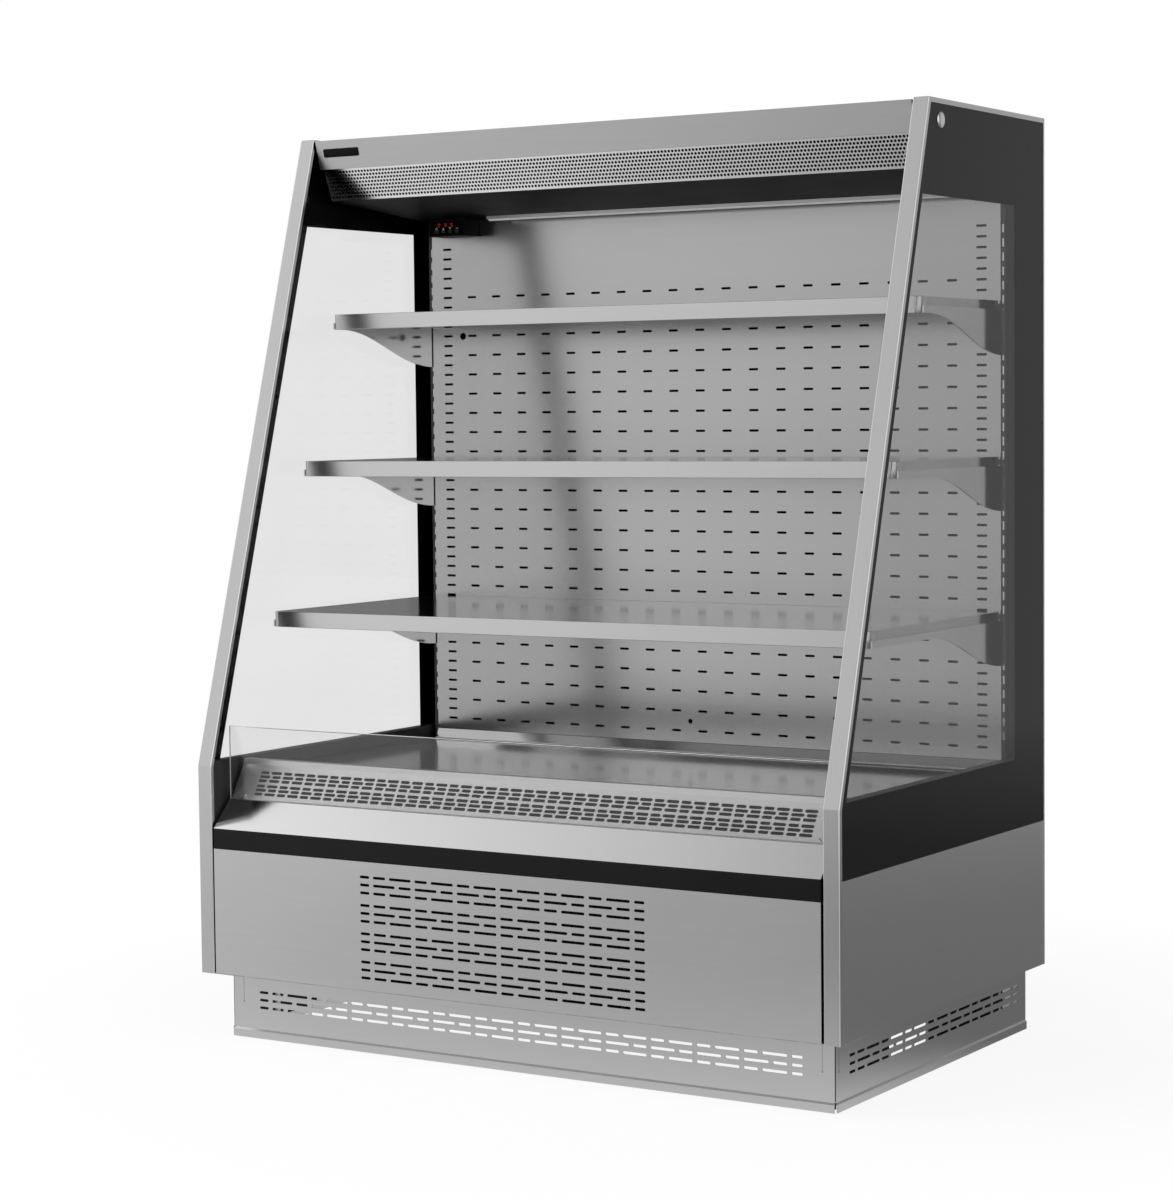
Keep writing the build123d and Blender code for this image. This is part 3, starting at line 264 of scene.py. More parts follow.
# finishes; tones run from 0 to 1, fine, broad and skin are cycles a metre, depths are metres
steelLooks = {
    "steelAcross": {"along": "x", "tone": 0.64, "spread": 0.018, "fine": 900.0, "broad": 180.0,
                    "roughness": (0.27, 0.31), "grainRoughness": 0.05, "depth": 0.000004},
    "steelCanopy": {"along": "x", "tone": 0.54, "spread": 0.024, "fine": 600.0, "broad": 200.0,
                    "roughness": (0.26, 0.30), "grainRoughness": 0.08, "depth": 0.000004},
    "steelSide": {"along": "y", "tone": 0.58, "spread": 0.018, "fine": 900.0, "broad": 160.0,
                  "roughness": (0.27, 0.31), "grainRoughness": 0.05, "depth": 0.000004},
    "steelTrim": {"along": "zy", "tone": 0.60, "spread": 0.012, "fine": 900.0, "broad": 150.0,
                  "roughness": (0.22, 0.26), "grainRoughness": 0.03, "depth": 0.000002},
    # painted highlight: the folds' brighter tone stands in for their highlight line; the lower roughness is
    # the polished fold
    "steelFoldPaintedHighlight": {"along": "zy", "tone": 0.80, "spread": 0.010, "fine": 700.0, "broad": 120.0,
                  "roughness": (0.12, 0.15), "grainRoughness": 0.02, "depth": 0.000001},
    "steelSatin": {"along": "x", "tone": 0.52, "spread": 0.010, "fine": 700.0, "broad": 90.0,
                   "roughness": (0.17, 0.20), "grainRoughness": 0.02, "depth": 0.0000008},
    "steelDeck": {"along": "x", "tone": 0.58, "spread": 0.010, "fine": 700.0, "broad": 90.0,
                  "roughness": (0.10, 0.13), "grainRoughness": 0.02, "depth": 0.000001},
    "steelRail": {"along": "x", "tone": 0.66, "spread": 0.015, "fine": 900.0, "broad": 150.0,
                  "roughness": (0.20, 0.24), "grainRoughness": 0.04, "depth": 0.000003},
    "steelPolished": {"along": "x", "tone": 0.68, "spread": 0.008, "fine": 500.0, "broad": 60.0,
                      "roughness": (0.10, 0.13), "grainRoughness": 0.02, "depth": 0.000001},
    "steelGrille": {"along": "x", "tone": 0.78, "spread": 0.012, "fine": 800.0, "broad": 120.0,
                    "roughness": (0.30, 0.36), "grainRoughness": 0.04, "depth": 0.000002},
    "chrome": {"along": "x", "tone": 0.78, "spread": 0.006, "fine": 300.0, "broad": 60.0,
               "roughness": (0.05, 0.08), "grainRoughness": 0.01, "depth": 0.0000005},
    "footSteel": {"along": "z", "tone": 0.55, "spread": 0.03, "fine": 600.0, "broad": 90.0,
                  "roughness": (0.28, 0.36), "grainRoughness": 0.08, "depth": 0.00001},
}
mouldedLooks = {
    "blackPlastic": {"dark": grey(0.010), "light": grey(0.016), "skin": 900.0,
                     "roughness": (0.30, 0.38), "depth": 0.00003},
    "darkLiner": {"dark": grey(0.010), "light": grey(0.015), "skin": 500.0, "shine": 0.15,
                  "roughness": (0.50, 0.58), "depth": 0.00002},
    # black like the liner, and darker than it as painted shade under the canopy
    "innerBlackPaintedShade": {"dark": grey(0.004), "light": grey(0.006), "skin": 500.0, "shine": 0.05,
                   "roughness": (0.45, 0.52), "depth": 0.00002},
    "uprightBlack": {"dark": grey(0.026), "light": grey(0.034), "skin": 600.0, "shine": 0.45,
                     "roughness": (0.38, 0.46), "depth": 0.00002},
    "blackCoil": {"dark": grey(0.010), "light": grey(0.016), "skin": 600.0, "shine": 0.2,
                  "roughness": (0.50, 0.60), "depth": 0.00002},
    "greyPlastic": {"dark": grey(0.060), "light": grey(0.075), "skin": 800.0,
                    "roughness": (0.42, 0.52), "depth": 0.00003},
    "buttonPlastic": {"dark": grey(0.012), "light": grey(0.018), "skin": 700.0,
                      "roughness": (0.38, 0.44), "depth": 0.00002},
    "displayFace": {"dark": (0.006, 0.002, 0.002, 1.0), "light": (0.009, 0.003, 0.003, 1.0),
                    "skin": 200.0, "shine": 0.15, "roughness": (0.10, 0.14), "depth": 0.000002},
    "badgeBlack": {"dark": grey(0.003), "light": grey(0.004), "skin": 300.0, "shine": 0.08,
                   "roughness": (0.14, 0.20), "depth": 0.000004},
    "printBlack": {"dark": grey(0.002), "light": grey(0.003), "skin": 300.0, "shine": 0.15,
                   "roughness": (0.36, 0.42), "depth": 0.0000005},
    "bumperBlack": {"dark": grey(0.004), "light": grey(0.006), "skin": 700.0, "shine": 0.2,
                    "roughness": (0.26, 0.32), "depth": 0.00001},
    "perforatedSteel": {"dark": grey(0.90), "light": grey(0.95), "skin": 500.0, "metallic": 1.0,
                        "roughness": (0.13, 0.17), "depth": 0.000001},
    "seamGrey": {"dark": grey(0.20), "light": grey(0.24), "skin": 400.0, "metallic": 0.7,
                 "roughness": (0.40, 0.48), "depth": 0.000004},
    "glassEdge": {"dark": grey(0.90), "light": grey(0.96), "skin": 300.0,
                  "roughness": (0.20, 0.26), "depth": 0.000002},
    "blackEnamel": {"dark": grey(0.012), "light": grey(0.020), "skin": 160.0,
                    "roughness": (0.22, 0.30), "depth": 0.00008},
    "copper": {"dark": (0.62, 0.27, 0.15, 1.0), "light": (0.78, 0.38, 0.23, 1.0), "skin": 220.0,
               "roughness": (0.24, 0.38), "depth": 0.00002, "metallic": 1.0},
    "aluminiumFins": {"dark": grey(0.62), "light": grey(0.72), "skin": 400.0,
                      "roughness": (0.32, 0.42), "depth": 0.00002, "metallic": 1.0},
    "markWhite": {"dark": grey(0.55), "light": grey(0.62), "skin": 400.0,
                  "roughness": (0.40, 0.48), "depth": 0.000004},
    "seamDark": {"dark": grey(0.020), "light": grey(0.030), "skin": 400.0,
                 "roughness": (0.45, 0.55), "depth": 0.000004},
}
finishes = {}
for finishName, look in steelLooks.items():
    finishes[finishName] = brushedSteel(finishName, look, brushing)
for finishName, look in mouldedLooks.items():
    finishes[finishName] = moulded(finishName, look)

galvanisedLook = {
    "spangle": 55.0,  # cells a metre
    "dark": grey(0.44),
    "light": grey(0.60, 0.02),
    "cloud": (4.0, 4.0, 4.0),
    "cloudTones": (0.6, 1.0),
    "roughness": (0.34, 0.50),
}


def galvanised(look):
    made, tree, shader = newMaterial("galvanised")
    cells = addNode(tree, "ShaderNodeTexVoronoi", Vector=ownCoordinates(tree), Scale=look["spangle"])
    tones = addNode(tree, "ShaderNodeSeparateColor", Color=cells.outputs["Color"]).outputs
    cloud = ranged(tree, noiseOf(tree, look["cloud"], detail=3.0), *look["cloudTones"])
    shade = mathOf(tree, "MULTIPLY", tones["Red"], cloud)
    feedAll(tree, shader, {
        "Base Color": mixColours(tree, shade, look["dark"], look["light"]),
        "Roughness": ranged(tree, tones["Green"], *look["roughness"], 0.0, 1.0),
        "Metallic": 1.0,
    })
    return made


finishes["galvanised"] = galvanised(galvanisedLook)

sideLook = {
    "cheekEdge": 0.6434,  # from the middle; the dark inner cheek lies inside this
    "steel": grey(0.58),
    "steelLight": grey(0.62),
    "cheek": grey(0.012),
    "steelRoughness": 0.30,
    "cheekRoughness": 0.40,
    "grain": (900.0, 8.0, 900.0),
    "depth": 0.00002,
}


def lowerSide(look):
    # steel outside and a dark cheek inside, on one folded panel
    made, tree, shader = newMaterial("lowerSide")
    split = addNode(tree, "ShaderNodeSeparateXYZ", Vector=ownCoordinates(tree))
    fromMiddle = mathOf(tree, "ABSOLUTE", split.outputs["X"])
    outside = mathOf(tree, "GREATER_THAN", fromMiddle, look["cheekEdge"])
    grain = noiseOf(tree, look["grain"], detail=3.0, roughness=0.6)
    steel = mixColours(tree, ranged(tree, grain, 0.0, 1.0), look["steel"], look["steelLight"])
    feedAll(tree, shader, {
        "Base Color": mixColours(tree, outside, look["cheek"], steel),
        "Metallic": outside,
        "Roughness": ranged(tree, outside, look["cheekRoughness"], look["steelRoughness"], 0.0, 1.0),
    })
    bumped(tree, shader, grain, look["depth"])
    return made


finishes["lowerSide"] = lowerSide(sideLook)

glassLooks = {
    "sideGlass": {"tint": 0.78, "ior": 1.25},  # lower than glass has, since this pane mirrors little
    "riserGlass": {"tint": 0.93, "ior": 1.5},
}
glassSkin = {"smear": (4.0, 4.0, 9.0), "lighter": 0.02, "lampShare": 0.9}


def clearGlass(name, look, skin):
    made, tree, shader = newMaterial(name)
    smear = ranged(tree, noiseOf(tree, skin["smear"], detail=3.0), 0.0, 1.0)
    feedAll(tree, shader, {
        "Base Color": mixColours(tree, smear, grey(look["tint"]), grey(look["tint"] + skin["lighter"])),
        "Roughness": 0.0,
        "IOR": look["ior"],
        "Transmission Weight": 1.0,
    })
    withShadowPass(tree, shader, grey(skin["lampShare"]))
    return made


for finishName, look in glassLooks.items():
    finishes[finishName] = clearGlass(finishName, look, glassSkin)

glowLooks = {
    "lampLens": {"colour": grey(0.85), "glow": (1.0, 1.0, 1.0, 1.0), "strength": 0.14},
    "digitRed": {"colour": (0.40, 0.02, 0.02, 1.0), "glow": (1.0, 0.05, 0.06, 1.0), "strength": 0.20},
}
glowSkin = {"cloud": (30.0, 30.0, 30.0), "dimmest": 0.85, "roughness": 0.4}


def glowing(name, look, skin):
    made, tree, shader = newMaterial(name)
    cloud = ranged(tree, noiseOf(tree, skin["cloud"]), 0.0, 1.0)
    dimmed = mixColours(tree, cloud, grey(skin["dimmest"]), grey(1.0))
    feedAll(tree, shader, {
        "Base Color": look["colour"],
        "Emission Color": mixColours(tree, 1.0, dimmed, look["glow"], "MULTIPLY"),
        "Emission Strength": look["strength"],
        "Roughness": skin["roughness"],
    })
    return made


for finishName, look in glowLooks.items():
    finishes[finishName] = glowing(finishName, look, glowSkin)
print("finishes made:", len(finishes))

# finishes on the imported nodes
finishOfNodes = {
    "steelAcross": ["plinth_front", "plinth_rear", "service_panel"],
    "steelCanopy": ["canopy_front"],
    "steelSide": ["plinth_sides"],
    "lowerSide": ["lower_side_left", "lower_side_right"],
    "steelTrim": ["side_trim_left", "side_trim_right"],
    "steelSatin": ["back_duct_panel"],
    "steelDeck": ["deck_pan", "shelf_tray_1", "shelf_tray_2", "shelf_tray_3"],
    "steelRail": ["price_rail_1", "price_rail_2", "price_rail_3"],
    "steelPolished": ["fascia", "shelf_brackets_1", "shelf_brackets_2", "shelf_brackets_3"],
    "steelGrille": ["return_grille", "discharge_grille"],
    "uprightBlack": ["shelf_uprights"],
    "chrome": ["side_caps"],
    "footSteel": [f"leveling_foot_{i}" for i in range(1, 5)],
    "galvanised": ["base_frame", "base_pan", "roof_panel", "rear_cover", "condenser_shroud", "fan_plate"],
    "darkLiner": ["insulated_tub", "insulated_back"],
    "innerBlackPaintedShade": ["soffit", "controller_housing"],
    "bumperBlack": ["bumper_band"],
    "blackPlastic": ["condenser_rotor", "evaporator_rotor_left", "evaporator_rotor_right", "cable_gland"],
    "greyPlastic": ["electrical_box"],
    "buttonPlastic": [f"controller_button_{i}" for i in range(1, 5)],
    "displayFace": ["controller_display"],
    "badgeBlack": ["badge_plate"],
    "sideGlass": ["side_glass_left", "side_glass_right"],
    "riserGlass": ["riser_glass"],
    "aluminiumFins": ["evaporator_coil", "lamp_housing"],
    "blackCoil": ["condenser_coil"],
    "lampLens": ["lamp_lens"],
    "blackEnamel": ["compressor"],
    "copper": ["refrigerant_pipes"],
}
finishedNodes = set()
for finishName, members in finishOfNodes.items():
    for member in members:
        mesh = nodes[member].data
        mesh.materials.clear()
        mesh.materials.append(finishes[finishName])
        finishedNodes.add(member)
print("nodes without a finish:", sorted(set(nodes) - finishedNodes))

# softened edges
edgeRadii = {  # metres
    "side_trim_left": 0.0004,
    "side_trim_right": 0.0004,
    "canopy_front": 0.0006,
    "fascia": 0.0005,
    "lower_side_left": 0.0004,
    "lower_side_right": 0.0004,
    "price_rail_1": 0.0010,
    "price_rail_2": 0.0010,
    "price_rail_3": 0.0010,
    "riser_glass": 0.0005,
    "badge_plate": 0.0004,
    "deck_pan": 0.0004,
    "roof_panel": 0.0005,
    "controller_housing": 0.0003,
    "lamp_housing": 0.0004,
}
joinedFaces = {"gap": 0.00001, "flatness": 0.2}  # metres and degrees; a bevel needs faces that share edges
edgeBevel = {"segments": 2, "least": 40.0}  # degrees; edges that turn by less stay as they are
sideLean = {"kneeHeight": 0.500, "setBack": 0.336}  # of the top front corner
trimFold = {
    "across": (0.650, 0.620),  # from the middle, the trim's outer and inner fold
    "radius": 0.0019,
    "segments": 4,
    "reach": 0.0005,
}


def sideEdge(z, low=None):
    # how far back the sides' leaning front edge lies at a height
    start = frontFace if low is None else low
    lean = sideLean["setBack"] / (cadHigh.z - sideLean["kneeHeight"])
    return start + max(0.0, (z - sideLean["kneeHeight"]) * lean)


def roundTrimFolds(side, look):
    # the long folds beside the front and top faces are rounder than the other edges, and their brighter
    # steel is a painted highlight
    mesh = nodes[f"side_trim_{side}"].data
    weights = mesh.attributes.new("bevel_weight_edge", "FLOAT", "EDGE").data
    for edge in mesh.edges:
        ends = [mesh.vertices[i].co for i in edge.vertices]
        onFold = any(all(abs(abs(p.x) - x) < look["reach"] for p in ends) for x in look["across"])
        onFront = all(p.y - sideEdge(p.z) < look["reach"] for p in ends)
        onTop = all(cadHigh.z - p.z < look["reach"] for p in ends)
        if onFold and (onFront or onTop):
            weights[edge.index].value = 1.0
    fold = nodes[f"side_trim_{side}"].modifiers.new("fold", "BEVEL")
    fold.width = look["radius"]
    fold.segments = look["segments"]
    fold.limit_method = "WEIGHT"
    fold.harden_normals = True
    mesh.materials.append(finishes["steelFoldPaintedHighlight"])
    fold.material = len(mesh.materials) - 1


for member in edgeRadii:
    weld = nodes[member].modifiers.new("weld", "WELD")
    weld.merge_threshold = joinedFaces["gap"]
    flats = nodes[member].modifiers.new("flats", "DECIMATE")
    flats.decimate_type = "DISSOLVE"
    flats.angle_limit = math.radians(joinedFaces["flatness"])
for side in ("left", "right"):
    roundTrimFolds(side, trimFold)
for member, radius in edgeRadii.items():
    bevel = nodes[member].modifiers.new("edge", "BEVEL")
    bevel.width = radius
    bevel.segments = edgeBevel["segments"]
    bevel.limit_method = "ANGLE"
    bevel.angle_limit = math.radians(edgeBevel["least"])
    bevel.harden_normals = True
print("edges softened on", len(edgeRadii), "nodes")

# mesh helpers


def meshFrom(shape, name):
    bmesh.ops.recalc_face_normals(shape, faces=shape.faces)
    mesh = bpy.data.meshes.new(name)
    shape.to_mesh(mesh)
    shape.free()
    mesh.update()
    return mesh


def addPiece(shape, name, body, finish):
    mesh = meshFrom(shape, name)
    mesh.materials.append(finishes[finish])
    piece = bpy.data.objects.new(name, mesh)
    bpy.context.scene.collection.objects.link(piece)
    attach(piece, body)
    return piece


def addPlate(shape, outline, place, thickness, holes=()):
    # a flat plate with holes; place turns (u, v, depth) into a point
    edges = []
    for loop in (outline, *holes):
        corners = [shape.verts.new(place(u, v, 0.0)) for u, v in loop]
        edges += [shape.edges.new((corners[i - 1], corners[i])) for i in range(len(corners))]
    filled = bmesh.ops.triangle_fill(shape, use_beauty=True, use_dissolve=False, edges=edges)
    faces = [f for f in filled["geom"] if isinstance(f, bmesh.types.BMFace)]
    grown = bmesh.ops.extrude_face_region(shape, geom=faces, use_keep_orig=True)
    moved = [v for v in grown["geom"] if isinstance(v, bmesh.types.BMVert)]
    shift = Vector(place(0.0, 0.0, thickness)) - Vector(place(0.0, 0.0, 0.0))
    bmesh.ops.translate(shape, verts=moved, vec=shift)


def addBox(shape, low, high):
    corners = [
        shape.verts.new((x, y, z))
        for z in (low[2], high[2])
        for x, y in ((low[0], low[1]), (high[0], low[1]), (high[0], high[1]), (low[0], high[1]))
    ]
    for face in ((0, 3, 2, 1), (4, 5, 6, 7), (0, 1, 5, 4), (1, 2, 6, 5), (2, 3, 7, 6), (3, 0, 4, 7)):
        shape.faces.new([corners[i] for i in face])


def addBoxes(name, body, finish, boxes):
    shape = bmesh.new()
    for low, high in boxes:
        addBox(shape, low, high)
    addPiece(shape, name, body, finish)


def ring(centre, radius, count, start=0.0):
    angles = [start + 2 * math.pi * i / count for i in range(count)]
    return [(centre[0] + radius * math.cos(a), centre[1] + radius * math.sin(a)) for a in angles]


def addSleeve(shape, rings):
    # faces between one ring of points and the next
    for lower, upper in zip(rings, rings[1:]):
        for i in range(len(lower)):
            shape.faces.new((lower[i - 1], lower[i], upper[i], upper[i - 1]))


def onSide(sign, near, far):
    # two distances from the middle as a low and a high x
    return sorted((sign * near, sign * far))


# black print on the side glass
glassPrint = {
    "frontBand": {"left": 0.052, "right": 0.028},
    "windowTop": 1.484,  # above the floor
    "windowBack": 0.687,  # behind the front face
    "windowBottom": 0.505,
    "margin": 0.0005,  # to the pane's edges
    "inside": 0.00008,  # from the pane's inner face
    "thickness": 0.0001,
}


def printOnGlass(side, look):
    low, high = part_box(f"side_glass_{side}")
    sign = -1 if side == "left" else 1
    inner = min(abs(low.x), abs(high.x))
    band = look["frontBand"][side]
    margin = look["margin"]
    outline = [
        (low.y + margin, low.z + margin),
        (low.y + margin, sideLean["kneeHeight"]),
        (sideEdge(high.z, low.y) + margin, high.z - margin),
        (high.y - margin, high.z - margin),
        (high.y - margin, low.z + margin),
    ]
    window = [
        (sideEdge(look["windowBottom"], low.y) + band, look["windowBottom"]),
        (sideEdge(look["windowTop"], low.y) + band, look["windowTop"]),
        (behind(look["windowBack"]), look["windowTop"]),
        (behind(look["windowBack"]), look["windowBottom"]),
    ]

    def place(y, z, depth):
        return (sign * (inner + look["inside"] + depth), y, z)

    shape = bmesh.new()
    addPlate(shape, outline, place, look["thickness"], [window])
    addPiece(shape, f"glass_print_{side}", "cabinet", "printBlack")


for side in ("left", "right"):
    printOnGlass(side, glassPrint)
print("glass printed")

# perforated discharge grille
discharge = {
    "topBehind": 0.3615,  # behind the front face
    "lowBehind": 0.3860,
    "height": 0.058,
    "holeRadius": 0.0026,
    "holeStart": 225,  # degrees, the lower left corner of a square
    "pitch": 0.0070,
    "rows": 8,
    "pointsPerSide": 4,  # of each hole's square
    "sheet": 0.001,
}


def perforatedStrip(look):
    low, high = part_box("discharge_grille")
    bottom = Vector((0.0, behind(look["lowBehind"]), low.z))
    top = Vector((0.0, behind(look["topBehind"]), low.z + look["height"]))
    length = (top - bottom).length
    slope = (top - bottom) / length
    pitch, perSide = look["pitch"], look["pointsPerSide"]
    step = pitch / perSide  # rows are shifted by one step to the left or right
    columns = int((high.x - low.x - pitch) / pitch)
    firstRow = (length - look["rows"] * pitch) / 2
    shape = bmesh.new()
    known = {}

    def corner(u, v):
        key = (round(u * 1e6), round(v * 1e6))  # micrometres, so that neighbours share their corners
        if key not in known:
            spot = bottom + slope * v
            known[key] = shape.verts.new((u, spot.y, spot.z))
        return known[key]

    def addFace(points):
        shape.faces.new([corner(u, v) for u, v in points])

    def cell(u, v):
        # one square of sheet around its hole, u and v at its lower left
        border = [(u + step * i, v) for i in range(perSide)]
        border += [(u + pitch, v + step * i) for i in range(perSide)]
        border += [(u + pitch - step * i, v + pitch) for i in range(perSide)]
        border += [(u, v + pitch - step * i) for i in range(perSide)]
        centre = (u + pitch / 2, v + pitch / 2)
        hole = ring(centre, look["holeRadius"], len(border), math.radians(look["holeStart"]))
        for i in range(len(border)):
            addFace([border[i - 1], border[i], hole[i], hole[i - 1]])

    start = -columns * pitch / 2
    for row in range(look["rows"]):
        v = firstRow + row * pitch
        shift = step if row % 2 else -step
        for column in range(columns):
            cell(start + shift + column * pitch, v)
        for u0, u1 in ((low.x, start + shift), (start + shift + columns * pitch, high.x)):
            rightSide = [(u1, v + step * i) for i in range(1, perSide)]
            addFace([(u0, v), (u1, v), *rightSide, (u1, v + pitch), (u0, v + pitch)])
    for v0, v1, shift in ((0.0, firstRow, -step), (firstRow + look["rows"] * pitch, length, step)):
        stops = [low.x] + [start + shift + step * i for i in range(perSide * columns + 1)] + [high.x]
        for u0, u1 in zip(stops, stops[1:]):
            addFace([(u0, v0), (u1, v0), (u1, v1), (u0, v1)])
    upper = [shape.verts.new((u, top.y, high.z)) for u in (high.x, low.x)]
    shape.faces.new([corner(low.x, length), corner(high.x, length), *upper])
    strip = addPiece(shape, "discharge_perforated", "cabinet", "perforatedSteel")
    wall = strip.modifiers.new("wall", "SOLIDIFY")
    wall.thickness = look["sheet"]
    wall.offset = -1.0 if strip.data.polygons[0].normal.y < 0 else 1.0
    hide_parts("discharge_grille")
    return len(known)


print("discharge grille perforated,", perforatedStrip(discharge), "corners")

# controller face
digits = {
    "text": "035",  # each figure needs its pattern in segmentsOf
    "pointAfter": 2,
    "left": -0.5575,
    "width": 0.0046,
    "height": 0.0054,
    "gap": 0.0104,
    "bottom": 1.4948,
    "stroke": 0.0011,
    "cut": 0.2,  # how much shorter a bar is at each end, in strokes
    "point": 0.45,  # radius, in strokes
    "pointCorners": 12,
    "proud": 0.0003,
}
segmentsOf = {  # top, upper left, upper right, middle, lower left, lower right, bottom
    "0": "1110111",
    "3": "1011011",
    "5": "1101011",
}
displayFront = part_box("controller_display")[0].y


def onDisplay(x, z, depth):
    return (x, displayFront - depth, z)


def segmentBars(width, height):
    # the seven bars of a digit, each as two end points
    middle = height / 2
    return [
        ((0, height), (width, height)),
        ((0, middle), (0, height)),
        ((width, middle), (width, height)),
        ((0, middle), (width, middle)),
        ((0, 0), (0, middle)),
        ((width, 0), (width, middle)),
        ((0, 0), (width, 0)),
    ]


def barOutline(start, end, look):
    # a bar with pointed ends, kept short of its neighbours
    stroke = look["stroke"]
    a, b = Vector(start), Vector(end)
    way = (b - a).normalized()
    across = Vector((-way.y, way.x)) * stroke / 2
    a, b = a + way * stroke * look["cut"], b - way * stroke * look["cut"]
    near, far = a + way * stroke / 2, b - way * stroke / 2
    return [a, near - across, far - across, b, far + across, near + across]


def digitPiece(look):
    pace = look["width"] + look["gap"]
    shape = bmesh.new()
    for place, figure in enumerate(look["text"]):
        left = look["left"] + place * pace
        for lit, (start, end) in zip(segmentsOf[figure], segmentBars(look["width"], look["height"])):
            if lit == "1":
                outline = [(left + p.x, look["bottom"] + p.y) for p in barOutline(start, end, look)]
                addPlate(shape, outline, onDisplay, look["proud"])
    pointX = look["left"] + look["pointAfter"] * pace - look["gap"] / 2
    point = ring((pointX, look["bottom"]), look["stroke"] * look["point"], look["pointCorners"])
    addPlate(shape, point, onDisplay, look["proud"])
    addPiece(shape, "display_digits", "cabinet", "digitRed")


keyMarks = {"size": 0.0052, "above": 0.0030, "proud": 0.0002, "ringHole": 0.6, "ringCorners": 20}


def keyMarkPiece(look):
    # plain marks above the keys: a ring, an arrow up, an arrow down and a bar
    half, around = look["size"] / 2, look["ringCorners"]
    shape = bmesh.new()
    for number in range(1, 5):
        low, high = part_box(f"controller_button_{number}")
        x, z = (low.x + high.x) / 2, high.z + look["above"]
        holes = []
        if number == 1:
            outline = ring((x, z), half, around)
            holes.append(ring((x, z), half * look["ringHole"], around))
        elif number == 4:
            outline = [(x + u * half, z + v * half / 3) for u, v in ((-1, -1), (1, -1), (1, 1), (-1, 1))]
        else:
            tip = half if number == 2 else -half
            outline = [(x - half, z - tip), (x + half, z - tip), (x, z + tip)]
        addPlate(shape, outline, onDisplay, look["proud"], holes)
    addPiece(shape, "key_marks", "cabinet", "markWhite")


digitPiece(digits)
keyMarkPiece(keyMarks)
print("controller face drawn")

# leaning strip along the deck's back edge, and a pale bead shaped as a sealing bead whose near-white is a
# painted highlight line
deckBack = {
    "from": -0.607, "to": 0.612,
    "low": 0.4850, "high": 0.5024,
    "lean": 0.0090,  # how far its foot stands forward
    "sheet": 0.0008, "clear": 0.0012,
    "beadHeight": 0.0018, "beadDepth": 0.0012,
}


def deckBackPieces(look):
    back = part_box("deck_pan")[1].y - look["clear"]
    foot = back - look["lean"]
    profile = (
        (foot, look["low"]),
        (back, look["high"]),
        (back + look["sheet"], look["high"]),
        (foot + look["sheet"], look["low"]),
    )
    shape = bmesh.new()
    addPlate(shape, profile, lambda y, z, depth: (look["from"] + depth, y, z), look["to"] - look["from"])
    addPiece(shape, "deck_back_strip", "deck", "steelPolished")
    # painted highlight: a near-white bead along the deck's back edge
    beadLow = (look["from"], foot - look["beadDepth"], look["low"])
    beadHigh = (look["to"], foot, look["low"] + look["beadHeight"])
    addBoxes("deck_back_highlight_bead", "deck", "glassEdge", [(beadLow, beadHigh)])


deckBackPieces(deckBack)

# polished edges of the riser glass
riserEdge = {"skin": 0.00015, "inset": 0.0008}


def riserEdgePiece(look):
    low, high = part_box("riser_glass")
    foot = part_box("fascia")[1].z
    skin, inset = look["skin"], look["inset"]
    front, back = low.y + inset, high.y - inset
    boxes = [((low.x + inset, front, high.z - skin), (high.x - inset, back, high.z + skin))]
    for x in (low.x, high.x):
        boxes.append(((x - skin, front, foot), (x + skin, back, high.z - inset)))
    addBoxes("riser_edges", "riser", "glassEdge", boxes)


riserEdgePiece(riserEdge)

# wavy spring clips that hold the riser's ends
riserClip = {
    "thickness": 0.0012,
    "depth": 0.005,
    "behindGlass": 0.0012,
    "curve": (  # inward from the riser's end, and up from the fascia
        (0.000, 0.0005), (0.006, 0.0040), (0.011, 0.0075), (0.016, 0.0060),
        (0.020, 0.0020), (0.023, 0.0008), (0.027, 0.0040), (0.030, 0.0075),
    ),
}


def riserClipPiece(look):
    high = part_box("riser_glass")[1]
    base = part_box("fascia")[1].z
    front = high.y + look["behindGlass"]
    back = front + look["depth"]
    section = ((front, 0), (back, 0), (back, look["thickness"]), (front, look["thickness"]))
    shape = bmesh.new()
    for sign in (-1, 1):
        levels = []
        for along, up in look["curve"]:
            x = sign * (high.x - along)
            levels.append([shape.verts.new((x, y, base + up + lift)) for y, lift in section])
        addSleeve(shape, levels)
        shape.faces.new(levels[0])
        shape.faces.new(levels[-1])
    addPiece(shape, "riser_clips", "cabinet", "chrome")


riserClipPiece(riserClip)

# bright steel behind the slots of the uprights
slotBacking = {
    "inner": 0.6095,  # from the middle
    "outer": 0.6157,
    "behindFace": 0.00215,
    "thickness": 0.0002,
    "margin": 0.012,
}


def slotBackings(look):
    low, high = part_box("shelf_uprights")
    y0 = low.y + look["behindFace"]
    y1 = y0 + look["thickness"]
    boxes = []
    for sign in (-1, 1):
        x0, x1 = onSide(sign, look["inner"], look["outer"])
        boxes.append(((x0, y0, low.z + look["margin"]), (x1, y1, high.z - look["margin"])))
    addBoxes("upright_slot_backing", "cabinet", "steelPolished", boxes)


slotBackings(slotBacking)

# corner seams, corner posts, press lines and pin holes of the plinth
plinthMarks = {
    "face": 0.0490,  # behind the front face
    "half": 0.6150,  # of the plinth's width
    "proud": 0.00012,
    "seamLow": 0.0200, "seamHigh": 0.1190, "seamFront": 0.0009, "seamSide": 0.0022,
    "postLow": 0.0080, "postHigh": 0.0185, "postReach": 0.0012,
    "lineLow": 0.0665, "lineHigh": 0.1130, "lineWidth": 0.0007,
    "frontLine": 0.0233,  # in from the corner
    "sideLine": 0.0624,  # behind the front face
    "hole": 0.0011, "holeCorners": 12,
}


